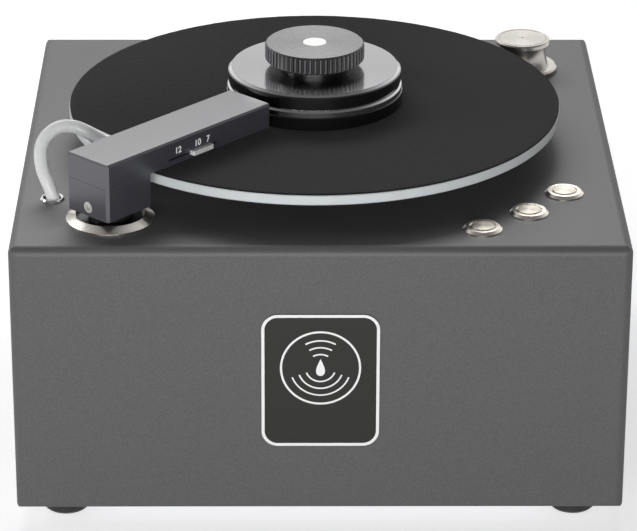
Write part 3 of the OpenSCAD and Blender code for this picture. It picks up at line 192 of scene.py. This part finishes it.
def grained(mat, size_mm, depth_mm, shades=None, rough_by=0.0, stretch=(1, 1, 1), detail=3):
    """Gives a material grain: bumps of a real size, and shades and roughness that go with them."""
    tree = mat.node_tree
    shader = tree.nodes["Principled BSDF"]
    place = add(tree, "ShaderNodeTexCoord").outputs["Object"]
    scaled = add(tree, "ShaderNodeMapping", {"Scale": stretch}, {"Vector": place}).outputs["Vector"]
    grain = add(tree, "ShaderNodeTexNoise", {"Scale": 1 / (size_mm * MM), "Detail": detail},
                {"Vector": scaled}).outputs["Fac"]
    bump = add(tree, "ShaderNodeBump", {"Distance": depth_mm * MM, "Strength": 1.0}, {"Height": grain})
    tree.links.new(bump.outputs["Normal"], shader.inputs["Normal"])
    if shades:
        ramp = add(tree, "ShaderNodeValToRGB", links={"Fac": grain})
        for stop, (at, code) in zip(ramp.color_ramp.elements, ((0.35, shades[0]), (0.65, shades[1]))):
            stop.position, stop.color = at, colour(code)
        tree.links.new(ramp.outputs["Color"], shader.inputs["Base Color"])
    if rough_by:
        rough = shader.inputs["Roughness"].default_value
        spread = add(tree, "ShaderNodeMapRange", {"To Min": rough - rough_by, "To Max": rough + rough_by},
                     {"Value": grain})
        tree.links.new(spread.outputs["Result"], shader.inputs["Roughness"])
    return mat


def turned_marks(mat, centres_mm, pitch_mm, depth_mm, pull=0.0):
    """Rings left by a lathe or a brush, round the nearest of the centres.

    Fine rings stretch each highlight across them. Pull says how far, from 0 to 1, and the shader does
    it with a tangent that runs round the centre."""
    tree = mat.node_tree
    shader = tree.nodes["Principled BSDF"]
    place = add(tree, "ShaderNodeTexCoord").outputs["Object"]
    flat = add(tree, "ShaderNodeVectorMath", {1: (1, 1, 0)}, {0: place}, operation="MULTIPLY").outputs[0]
    near = None
    for x, y in centres_mm:
        step = add(tree, "ShaderNodeVectorMath", {1: (x * MM, y * MM, 0)}, {0: flat},
                   operation="SUBTRACT").outputs[0]
        away = add(tree, "ShaderNodeVectorMath", links={0: step}, operation="LENGTH").outputs["Value"]
        if near is None:
            near, outward = away, step
            continue
        closer = add(tree, "ShaderNodeMath", links={0: away, 1: near}, operation="LESS_THAN").outputs[0]
        outward = add(tree, "ShaderNodeMix", links={0: closer, 4: outward, 5: step},
                      data_type="VECTOR").outputs[1]
        near = add(tree, "ShaderNodeMath", links={0: away, 1: near}, operation="MINIMUM").outputs[0]
    lines = add(tree, "ShaderNodeTexNoise", {"W": 0, "Scale": 1 / (pitch_mm * MM), "Detail": 2},
                {"W": near}, noise_dimensions="1D").outputs["Fac"]
    bump = add(tree, "ShaderNodeBump", {"Distance": depth_mm * MM, "Strength": 1.0}, {"Height": lines})
    tree.links.new(bump.outputs["Normal"], shader.inputs["Normal"])
    rough = shader.inputs["Roughness"].default_value
    spread = add(tree, "ShaderNodeMapRange", {"To Min": rough * 0.8, "To Max": rough * 1.2},
                 {"Value": lines})
    tree.links.new(spread.outputs["Result"], shader.inputs["Roughness"])
    if pull:
        around = add(tree, "ShaderNodeVectorMath", {0: (0, 0, 1)}, {1: outward}, operation="CROSS_PRODUCT")
        turned = add(tree, "ShaderNodeVectorTransform", links={0: around.outputs[0]},
                     vector_type="VECTOR", convert_from="OBJECT", convert_to="WORLD")
        tree.links.new(turned.outputs[0], shader.inputs["Tangent"])
        shader.inputs["Anisotropic"].default_value = pull
        shader.inputs["Anisotropic Rotation"].default_value = 0.25
    return mat


def dress(mat, *nodes):
    for name in nodes:
        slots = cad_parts[name].data.materials
        slots.clear()
        slots.append(mat)


def centre_mm(name):
    low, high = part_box(name)
    return ((low[0] + high[0]) / 2 / MM, (low[1] + high[1]) / 2 / MM)


def height_of(tree):
    """The height of the shaded point over the floor, in metres."""
    place = add(tree, "ShaderNodeTexCoord").outputs["Object"]
    return add(tree, "ShaderNodeSeparateXYZ", links={0: place}).outputs["Z"]


def test(tree, kind, value, limit, within=0.0):
    """1 where the value is GREATER_THAN or LESS_THAN the limit, or within a distance of it for COMPARE."""
    values = {1: limit, 2: within} if kind == "COMPARE" else {1: limit}
    return add(tree, "ShaderNodeMath", values, {0: value}, operation=kind).outputs[0]


def shade_where(tree, where, inside, outside):
    """Mixes two colours by where. A colour is a hex value or the socket of an earlier mix."""
    values, links = {}, {0: where}
    for key, wanted in ((6, outside), (7, inside)):
        if isinstance(wanted, str):
            values[key] = colour(wanted)
        else:
            links[key] = wanted
    return add(tree, "ShaderNodeMix", values, links, data_type="RGBA").outputs[2]


print("helpers ready")

# %% [markdown]
# ## The case
# Folded steel with a dark grey textured powder coat. The powder melts into a satin skin with a very
# fine orange peel, so the bumps are small, the roughness is middling and no highlight is sharp. The
# real grain is about 0.3 mm, too fine for the picture, so it is drawn at 0.8 mm.

# %% Case
powder_coat = grained(finish("powder_coated_steel", "#565657", 0, 0.5, Specular_IOR_Level=0.5),
                      0.8, 0.035, ("#515152", "#5c5c5d"), 0.06)
dress(powder_coat, "case_shell")
black_powder = grained(finish("black_powder_coat", "#262628", 0, 0.5), 0.6, 0.03,
                       ("#242426", "#2a2a2c"), 0.05)
dress(black_powder, "rear_panel")
moulded_rubber = grained(finish("moulded_rubber", "#161617", 0, 0.45), 0.5, 0.02,
                         ("#131314", "#1a1a1b"), 0.05)
dress(moulded_rubber, "feet", "turbine_cradle")
print("case finishes:", powder_coat.name, black_powder.name, moulded_rubber.name)

# %% [markdown]
# ## The platter and its felt
# The platter is cast acrylic, turned to size: pale, a little milky, so light goes in and comes out
# again beside the point where it went in. That is subsurface scattering. On it lies a disc of black
# wool felt, cut to the same size. Felt has no weave, only tangled fibres, so its surface is made of
# two sizes of noise and a sheen that catches the light at a flat angle.

# %% Platter
acrylic = turned_marks(finish("satin_acrylic", "#d9dedf", 0, 0.32, Subsurface_Weight=0.35,
                              Subsurface_Radius=(0.006, 0.006, 0.006), Coat_Weight=0.15),
                       [centre_mm("platter")], 0.5, 0.004)
dress(acrylic, "platter")
print("platter centre", centre_mm("platter"))

# %% Felt mat
low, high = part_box("mat")
felt_centre = Vector(((low[0] + high[0]) / 2, (low[1] + high[1]) / 2, 0))
felt_r, felt_low, felt_top = (high[0] - low[0]) / 2, low[2], high[2]
HOLE_R = 3.85 * MM
SIDES = 256
profile = [(HOLE_R, felt_low), (HOLE_R, felt_top - 0.2 * MM)]
profile += [(HOLE_R + 0.3 * MM + (felt_r - 0.8 * MM - HOLE_R) * i / 70, felt_top) for i in range(71)]
profile += [(felt_r - 0.2 * MM, felt_top - 0.12 * MM), (felt_r, felt_top - 0.35 * MM), (felt_r, felt_low)]
points, faces = [], []
for r, z in profile:
    for k in range(SIDES):
        a = 2 * math.pi * k / SIDES
        p = felt_centre + Vector((r * math.cos(a), r * math.sin(a), z))
        if z >= felt_top - 0.36 * MM and r > HOLE_R + 1 * MM:
            p.z += 0.10 * MM * noise.noise(p * 260) + 0.07 * MM * noise.noise(p * 900) - 0.1 * MM
        points.append(p)
rings = len(profile)
for i in range(rings):
    for k in range(SIDES):
        a, b = i * SIDES + k, i * SIDES + (k + 1) % SIDES
        c, d = ((i + 1) % rings) * SIDES + (k + 1) % SIDES, ((i + 1) % rings) * SIDES + k
        faces.append((a, d, c, b))
felt = mesh_piece("felt_mat", points, faces)
wool_felt = grained(finish("wool_felt", "#1d1d1e", 0, 0.95, Specular_IOR_Level=0.15, Sheen_Weight=0.12,
                           Sheen_Roughness=0.5), 1.5, 0.3, ("#121213", "#262627"), detail=8)
felt.data.materials.append(wool_felt)
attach(felt, "platter")
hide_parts("mat")
print("felt", len(felt.data.vertices), "points")

# %% [markdown]
# ## The clamp
# A disc is screwed down on the record's label to keep it dry. It is turned from black plastic and
# black anodised aluminium. Its low band is bright metal and a thin ring at its top edge has the same
# light colour, and its flat top is brushed. Its sides are coloured darker than the top, and that is
# painted shade. These aren't pieces of their own, so the finish is chosen by height: a metal's colour
# is its reflection. The knob is anodised too. Its ridges are painted lighter, as painted highlights,
# its flutes darker, as painted shade, and its neck near black, as the painted shade under the knob.

# %% Clamp
black_plastic = turned_marks(finish("turned_black_plastic", "#0d0d0e", 0, 0.16, Coat_Weight=0.3),
                             [centre_mm("platter")], 0.6, 0.003)
dress(black_plastic, "clamp_base")

anodised_disc = finish("black_anodised_aluminium", "#8c8c8e", 1, 0.17, Coat_Weight=1.0, Coat_Roughness=0.1)
turned_marks(anodised_disc, [centre_mm("platter")], 0.8, 0.001, 0.5)
tree = anodised_disc.node_tree
height = height_of(tree)
low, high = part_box("clamp_disc")
BAND_H = 3.9 * MM
in_band = test(tree, "LESS_THAN", height, low[2] + BAND_H)
on_edge = test(tree, "COMPARE", height, high[2] - 0.75 * MM, 0.6 * MM)
bright = add(tree, "ShaderNodeMath", links={0: in_band, 1: on_edge}, operation="MAXIMUM").outputs[0]
# Painted shade: the sides, below the flat top and outside the band and the edge ring, get the darker #4a4a4c.
on_top = test(tree, "GREATER_THAN", height, high[2] - 0.1 * MM)
shade = shade_where(tree, bright, "#c4c4c6", shade_where(tree, on_top, "#8c8c8e", "#4a4a4c"))
tree.links.new(shade, tree.nodes["Principled BSDF"].inputs["Base Color"])
dress(anodised_disc, "clamp_disc")
print("clamp disc from %.1f to %.1f mm" % (low[2] / MM, high[2] / MM))

# %% Knob
knob_metal = turned_marks(finish("dark_anodised_knob", "#37373a", 0, 0.28, IOR=1.77, Coat_Weight=0.4,
                                 Coat_Roughness=0.25), [centre_mm("platter")], 1.0, 0.002, 0.4)
tree = knob_metal.node_tree
low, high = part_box("clamp_knob")
knob_x, knob_y = centre_mm("clamp_knob")
knob_r = (high[0] - low[0]) / 2
NECK_H = 3.9 * MM
height = height_of(tree)
on_knob = test(tree, "GREATER_THAN", height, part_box("clamp_disc")[1][2] + NECK_H)
place = add(tree, "ShaderNodeTexCoord").outputs["Object"]
flat = add(tree, "ShaderNodeVectorMath", {1: (1, 1, 0)}, {0: place}, operation="MULTIPLY").outputs[0]
radius = add(tree, "ShaderNodeVectorMath", {1: (knob_x * MM, knob_y * MM, 0)}, {0: flat},
             operation="DISTANCE").outputs["Value"]
# Painted highlight: the ridge tips, the outer 0.3 mm, are painted lighter. Painted shade: the flutes below
# the top are painted darker.
ridge_painted_highlight = test(tree, "GREATER_THAN", radius, knob_r - 0.3 * MM)
past_top = test(tree, "GREATER_THAN", radius, knob_r - 1.3 * MM)
below = test(tree, "LESS_THAN", height, high[2] - 0.3 * MM)
flute_painted_shade = add(tree, "ShaderNodeMath", links={0: past_top, 1: below}, operation="MULTIPLY").outputs[0]
# Painted shade: the neck under the knob, below on_knob, is painted near black.
shade = shade_where(tree, on_knob, "#3a3a3d", "#060606")
shade = shade_where(tree, ridge_painted_highlight, "#6a6a6d", shade_where(tree, flute_painted_shade, "#0b0b0c", shade))
tree.links.new(shade, tree.nodes["Principled BSDF"].inputs["Base Color"])
dress(knob_metal, "clamp_knob")
polished_steel = finish("polished_steel", "#f2f2f0", 1, 0.12)
turned_marks(polished_steel, [centre_mm("platter")], 0.8, 0.001, 0.3)
dress(polished_steel, "knob_insert")
print("knob %.1f mm across" % (2 * knob_r / MM))

# %% [markdown]
# ## The arm
# The bar and its block are milled aluminium, blasted and anodised slate grey. The dyed skin is a
# clear, hard oxide over a dark ground, so it is written as a dark plastic-like surface with the
# oxide's IOR of 1.77: it looks dark from the front and pale where light grazes it. Velvet strips
# under the bar stroke the record, and white printed numbers tell the slider's places.

# %% Arm
ARM_TURN = math.radians(46.8)
slate = grained(finish("slate_anodised_aluminium", "#3d3d45", 0, 0.3, IOR=1.77, Coat_Weight=0.2,
                       Coat_Roughness=0.28), 0.5, 0.01, ("#3b3b43", "#404048"), 0.04)
dress(slate, "arm_bar", "arm_block")
hub_black = turned_marks(finish("black_anodised_hub", "#1c1c1d", 0, 0.3, IOR=1.77),
                         [centre_mm("arm_post")], 0.8, 0.002, 0.4)
dress(hub_black, "arm_post", "arm_sleeve", "arm_housing", "housing_cap")
slider_grey = grained(finish("light_grey_plastic", "#d6d6d4", 0, 0.35), 0.4, 0.01,
                      ("#d2d2d0", "#dadad8"), 0.05)
dress(slider_grey, "size_slider")
barb_metal = grained(finish("turned_aluminium_barb", "#d2d2d4", 1, 0.3), 0.3, 0.006, None, 0.05)
dress(barb_metal, "hose_barb")
zinc = grained(finish("zinc_plated_steel", "#bfc0c2", 1, 0.3), 0.8, 0.004, ("#b6b7ba", "#c8c9ca"), 0.06)
dress(zinc, "screws", "bottom_plate", "motor_bracket", "button_nuts")
screw_steel = grained(finish("stainless_screw", "#efedea", 1, 0.42), 0.3, 0.004, None, 0.05)
dress(screw_steel, "arm_screw")
print("arm finishes ready")

# %% Velvet pads
velvet = grained(finish("black_velvet", "#0f0f11", 0, 0.9, Sheen_Weight=0.6, Sheen_Roughness=0.35),
                 0.4, 0.15, ("#0b0b0c", "#17171a"), detail=6)
arm_point = Vector((*[c * MM for c in centre_mm("arm_post")], 0))
low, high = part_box("arm_pads")
to_arm = Matrix.Translation(arm_point) @ Matrix.Rotation(ARM_TURN, 4, "Z")
bar_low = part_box("arm_bar")[0][2]
for number, side in enumerate((-1, 1)):
    middle, half, start, end = side * 5 * MM, 3 * MM, 18 * MM, 111.5 * MM
    points, faces = [], []
    section = [(-1, 0), (-1, -0.55), (-0.82, -0.88), (-0.4, -1),
               (0.4, -1), (0.82, -0.88), (1, -0.55), (1, 0)]
    steps = 80
    for i in range(steps + 1):
        x = start + (end - start) * i / steps
        full = min(1, 0.55 + 0.45 * min(i, steps - i) / 2)
        for u, v in section:
            p = Vector((x, middle + u * half, bar_low + v * full * (high[2] - low[2])))
            p.z += 0.06 * MM * noise.noise(p * 700) * abs(v) + (0.06 * MM if v < -0.5 else 0)
            points.append(to_arm @ p)
    n = len(section)
    for i in range(steps):
        for k in range(n):
            a, b = i * n + k, i * n + (k + 1) % n
            faces.append((a, a + n, b + n, b))
    faces.append(tuple(range(n)))
    faces.append(tuple(steps * n + k for k in range(n - 1, -1, -1)))
    pad = mesh_piece("velvet_pad_%d" % (number + 1), points, faces)
    pad.data.materials.append(velvet)
    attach(pad, "arm")
    if number == 0:
        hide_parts("arm_pads")
print("pads under the bar at %.1f mm" % (bar_low / MM))

# %% Printed sizes
white_ink = grained(finish("white_screen_print", "#fbfbfa", 0, 0.45), 0.3, 0.005, ("#f8f8f7", "#ffffff"))
BAR_SIDE = -16.5 * MM
for words, along in (("12", 38.7), ("10", 54.5), ("7", 62.9)):
    letters = bpy.data.curves.new("size_" + words, "FONT")
    letters.body = words
    letters.size = 5.4 * MM
    letters.offset = 0.14 * MM
    letters.align_x = "CENTER"
    letters.extrude = 0.02 * MM
    letters.materials.append(white_ink)
    mark = bpy.data.objects.new("size_" + words, letters)
    bpy.context.scene.collection.objects.link(mark)
    mark.matrix_world = (to_arm @ Matrix.Translation((along * MM, BAR_SIDE - 0.01 * MM, bar_low + 6.2 * MM))
                         @ Matrix.Rotation(math.pi / 2, 4, "X"))
    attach(mark, "arm")
print("sizes printed")

# %% [markdown]
# ## Stainless pieces
# The arm's base ring, the push buttons and the cap at the back are turned stainless steel. A lathe
# leaves rings, which stretch every highlight into a bow tie, so each gets rings round its own axis
# and an anisotropic shine. The buttons' rings are drawn coarser than the real ones, which are too
# fine for the picture and would only show as noise.

# %% Stainless steel
ring_steel = turned_marks(finish("turned_stainless_ring", "#dcd7d0", 1, 0.24),
                          [centre_mm("arm_flange")], 1.0, 0.002, 0.6)
dress(ring_steel, "arm_flange")
button_centres = [centre_mm(n) for n in ("rotation_button", "motor_button", "vacuum_button")]
button_steel = turned_marks(finish("stainless_bezels", "#eae4da", 1, 0.22), button_centres,
                            2.4, 0.001, 0.3)
dress(button_steel, "button_bezels")
cap_finish = turned_marks(finish("stainless_button_caps", "#bab3a8", 1, 0.3), button_centres,
                          2.4, 0.001, 0.4)
dress(cap_finish, "rotation_button", "motor_button", "vacuum_button")
port_steel = turned_marks(finish("turned_stainless_cap", "#c6c1ba", 1, 0.2), [centre_mm("port_cap")],
                          1.0, 0.002, 0.45)
dress(port_steel, "port_cap", "port_flange")
chrome = finish("chromed_brass", "#e6e6e4", 1, 0.1)
turned_marks(chrome, [centre_mm("grommet")], 0.8, 0.001)
dress(chrome, "grommet")
print("button centres", [tuple(round(v, 1) for v in c) for c in button_centres])

# %% [markdown]
# ## Silicone
# The hose is milky: it lets light in but blurs it. Subsurface scattering gives that at a low cost,
# with a little gloss on top from the smooth mould.

# %% Silicone
silicone = grained(finish("milky_silicone", "#f6f8f9", 0, 0.14, IOR=1.41, Subsurface_Weight=0.8,
                          Subsurface_Radius=(0.003, 0.003, 0.003), Transmission_Weight=0.15), 2.5, 0.02,
                   ("#f3f5f6", "#f9fafb"))
hose.data.materials.append(silicone)
dress(silicone, "suction_hose", "inner_hoses")
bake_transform(hose)

# %% [markdown]
# ## The badge
# A thin aluminium plate, screen printed: a charcoal field, a white border and a ring, which CAD has.
# Inside the ring is a plain picture of a record with a drop of water, made here as thin flat shapes.

# %% Badge
badge_ink = grained(finish("charcoal_screen_print", "#20201e", 0, 0.5, Specular_IOR_Level=0.35),
                    0.4, 0.006, ("#1e1e1c", "#232321"), 0.04)
dress(badge_ink, "badge_plate")
dress(white_ink, "badge_trim")


def flat_shape(name, outlines, y, body, mat, thick):
    """Closed outlines in the X-Z plane, filled and made solid towards -Y."""
    curve = bpy.data.curves.new(name, "CURVE")
    curve.dimensions, curve.fill_mode, curve.extrude = "2D", "BOTH", thick / 2
    for outline in outlines:
        spline = curve.splines.new("POLY")
        spline.points.add(len(outline) - 1)
        for point, (x, z) in zip(spline.points, outline):
            point.co = (x, z, 0, 1)
        spline.use_cyclic_u = True
    curve.materials.append(mat)
    shape = bpy.data.objects.new(name, curve)
    bpy.context.scene.collection.objects.link(shape)
    shape.matrix_world = Matrix.Translation((0, y, 0)) @ Matrix.Rotation(math.pi / 2, 4, "X")
    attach(shape, body)
    return shape


def arc_band(cx, cz, r, width, a0, a1, steps=48):
    """A band along an arc, as one closed outline."""
    turns = [math.radians(a0 + (a1 - a0) * i / steps) for i in range(steps + 1)]
    return ([(cx + r * math.cos(a), cz + r * math.sin(a)) for a in turns]
            + [(cx + (r - width) * math.cos(a), cz + (r - width) * math.sin(a)) for a in reversed(turns)])


low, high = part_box("badge_plate")
ring_x, ring_z = (low[0] + high[0]) / 2, (low[2] + high[2]) / 2 + 8.1 * MM
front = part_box("badge_trim")[0][1]
PRINT_T = 0.15 * MM
outlines = []
for r in (17.5, 13.2, 8.9):
    outlines.append(arc_band(ring_x, ring_z, r * MM, 0.9 * MM, 200, 340))
    outlines.append(arc_band(ring_x, ring_z, r * MM, 0.9 * MM, 60, 120))
flat_shape("badge_grooves", outlines, front + PRINT_T / 2, "root", white_ink, PRINT_T)
drop = [(ring_x + 3.6 * MM * math.sin(t) * math.sin(t / 2) ** 1.5,
         ring_z + 0.4 * MM + 5.4 * MM * math.cos(t)) for t in [2 * math.pi * i / 60 for i in range(60)]]
flat_shape("badge_drop", [drop], front + PRINT_T / 2, "root", white_ink, PRINT_T)
print("badge printed at y = %.2f mm" % (front / MM))

# %% [markdown]
# ## The back and the inside
# The mains inlet, its rocker switch and the drain are at the back. Everything inside is hidden, but
# it gets its own finish too, so that the machine can be opened up.

# %% Back and inside
dress(grained(finish("moulded_black_plastic", "#161617", 0, 0.4), 0.5, 0.02, ("#141415", "#1b1b1c"), 0.05),
      "inlet_module")
dress(grained(finish("glossy_black_rocker", "#1d1d20", 0, 0.22, Coat_Weight=0.3), 0.9, 0.004, None, 0.03),
      "switch_rocker")
dress(grained(finish("nickel_plated_pins", "#cfcfcb", 1, 0.22), 0.6, 0.004, None, 0.04), "inlet_pins")
dress(turned_marks(finish("turned_brass", "#c9a95f", 1, 0.25), [centre_mm("drain_valve")], 0.4, 0.005),
      "drain_valve")
dress(grained(finish("red_moulded_lever", "#a3241d", 0, 0.35), 0.6, 0.01, ("#9d221b", "#aa2720"), 0.04),
      "drain_tap")
dress(turned_marks(finish("turned_aluminium", "#bcbec0", 1, 0.3), [centre_mm("platter")], 0.5, 0.005),
      "bearing_housing", "platter_hub", "drive_coupling", "impeller")
dress(turned_marks(finish("ground_steel", "#d2d4d6", 1, 0.15), [centre_mm("platter")], 0.4, 0.002),
      "platter_shaft", "motor_shaft", "spindle")
dress(grained(finish("sintered_bronze", "#b98a4c", 1, 0.4), 0.3, 0.01, ("#ad7f44", "#c49655"), 0.05),
      "bearing_bush")
dress(grained(finish("zinc_plated_can", "#8d9094", 1, 0.35), 0.7, 0.01, None, 0.05),
      "gear_motor", "turbine_motor")
dress(grained(finish("spring_wire", "#9c9ea1", 1, 0.25), 0.3, 0.004, None, 0.04),
      "arm_spring", "button_springs")
dress(grained(finish("natural_polyethylene", "#d8dcdb", 0, 0.45, Subsurface_Weight=0.4), 1.5, 0.02,
              ("#d3d8d7", "#dee1e0"), 0.04), "waste_tank")
dress(grained(finish("grey_moulded_plastic", "#4c5054", 0, 0.45), 0.8, 0.02, ("#494d51", "#505458"), 0.04),
      "tank_lid", "turbine_housing")
dress(grained(finish("skinned_foam", "#cf7233", 0, 0.6), 0.9, 0.03, ("#c66b2e", "#d77b3b"), 0.05),
      "level_float")
dress(grained(finish("folded_aluminium", "#a5a8ab", 1, 0.35), 0.5, 0.01, None, 0.05), "power_supply")
dress(grained(finish("circuit_board", "#2b6a44", 0, 0.35), 2.0, 0.02, ("#256040", "#31754c"), 0.05),
      "control_board")
dress(grained(finish("red_wire_insulation", "#a13a2e", 0, 0.4), 1.0, 0.01, ("#9a352a", "#a93f33"), 0.04),
      "wiring")
print("all", len(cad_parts), "nodes dressed")

# %% [markdown]
# ## Floor and light
# A pale sweep and large soft lamps, as in a studio for products. The white background is made of the
# floor's and the world's colour for the camera and for reflections only, so it adds no light. What
# metal reflects is white behind the machine and darker above and in front of it, because an evenly
# white room would leave polished pieces without contrast.

# %% Floor
floor_corners = [Vector(p) for p in ((-6, -4, 0), (6, -4, 0), (6, 8, 0), (-6, 8, 0))]
floor = mesh_piece("floor", floor_corners, [(0, 1, 2, 3)], smooth=False)
paper = finish("pale_floor", "#dcdcde", 0, 0.9, Specular_IOR_Level=0.1)
tree = paper.node_tree
shader = tree.nodes["Principled BSDF"]
rays = add(tree, "ShaderNodeLightPath")
seen = add(tree, "ShaderNodeMath", links={0: rays.outputs["Is Camera Ray"], 1: rays.outputs["Is Glossy Ray"]},
           operation="MAXIMUM").outputs[0]
glow = add(tree, "ShaderNodeEmission", {"Color": colour("#ffffff"), "Strength": 0.58})
nothing = add(tree, "ShaderNodeEmission", {"Strength": 0.0})
lift = add(tree, "ShaderNodeMixShader", links={0: seen, 1: nothing.outputs[0], 2: glow.outputs[0]})
both = add(tree, "ShaderNodeAddShader", links={0: shader.outputs[0], 1: lift.outputs[0]})
tree.links.new(both.outputs[0], tree.nodes["Material Output"].inputs["Surface"])
floor.data.materials.append(paper)
print("floor laid")

# %% World and lamps
world = bpy.data.worlds.new("studio")
world.use_nodes = True
bpy.context.scene.world = world
tree = world.node_tree
rays = add(tree, "ShaderNodeLightPath")
ambient = tree.nodes["Background"]
ambient.inputs["Color"].default_value = colour("#f4f6f8")
ambient.inputs["Strength"].default_value = 0.045
white = add(tree, "ShaderNodeBackground", {"Color": colour("#ffffff"), "Strength": 1.0})
toward = add(tree, "ShaderNodeSeparateXYZ", links={0: add(tree, "ShaderNodeTexCoord").outputs["Generated"]})
sweep = add(tree, "ShaderNodeMapRange", {"From Min": -0.2, "From Max": 0.85, "To Min": 0.18, "To Max": 1.05},
            {"Value": toward.outputs["Y"]}, interpolation_type="SMOOTHSTEP")
mirrored = add(tree, "ShaderNodeBackground", {"Color": colour("#ffffff")},
               {"Strength": sweep.outputs["Result"]})
shown = add(tree, "ShaderNodeMath", operation="MAXIMUM",
            links={0: rays.outputs["Is Camera Ray"], 1: rays.outputs["Is Transmission Ray"]}).outputs[0]
mixed = add(tree, "ShaderNodeMixShader", links={0: rays.outputs["Is Glossy Ray"], 1: ambient.outputs[0],
                                                2: mirrored.outputs[0]})
mixed = add(tree, "ShaderNodeMixShader", links={0: shown, 1: mixed.outputs[0], 2: white.outputs[0]})
tree.links.new(mixed.outputs[0], tree.nodes["World Output"].inputs["Surface"])


def softbox(name, place, aim, size, watts):
    lamp = bpy.data.lights.new(name, "AREA")
    lamp.shape, lamp.size, lamp.size_y, lamp.energy = "RECTANGLE", *size, watts
    box = bpy.data.objects.new(name, lamp)
    bpy.context.scene.collection.objects.link(box)
    box.location = place
    box.rotation_euler = (Vector(aim) - Vector(place)).to_track_quat("-Z", "Y").to_euler()


softbox("back", (-0.2, 0.9, 1.1), (0, 0.1, 0.15), (1.2, 0.5), 10.5)
softbox("front", (-0.15, -1.9, 0.42), (0, -0.18, 0.12), (1.8, 0.4), 25)
softbox("left", (-1.3, -0.1, 0.6), (0, 0, 0.17), (0.4, 0.9), 4)
bpy.context.scene.view_settings.view_transform = "Standard"
print("three softboxes")
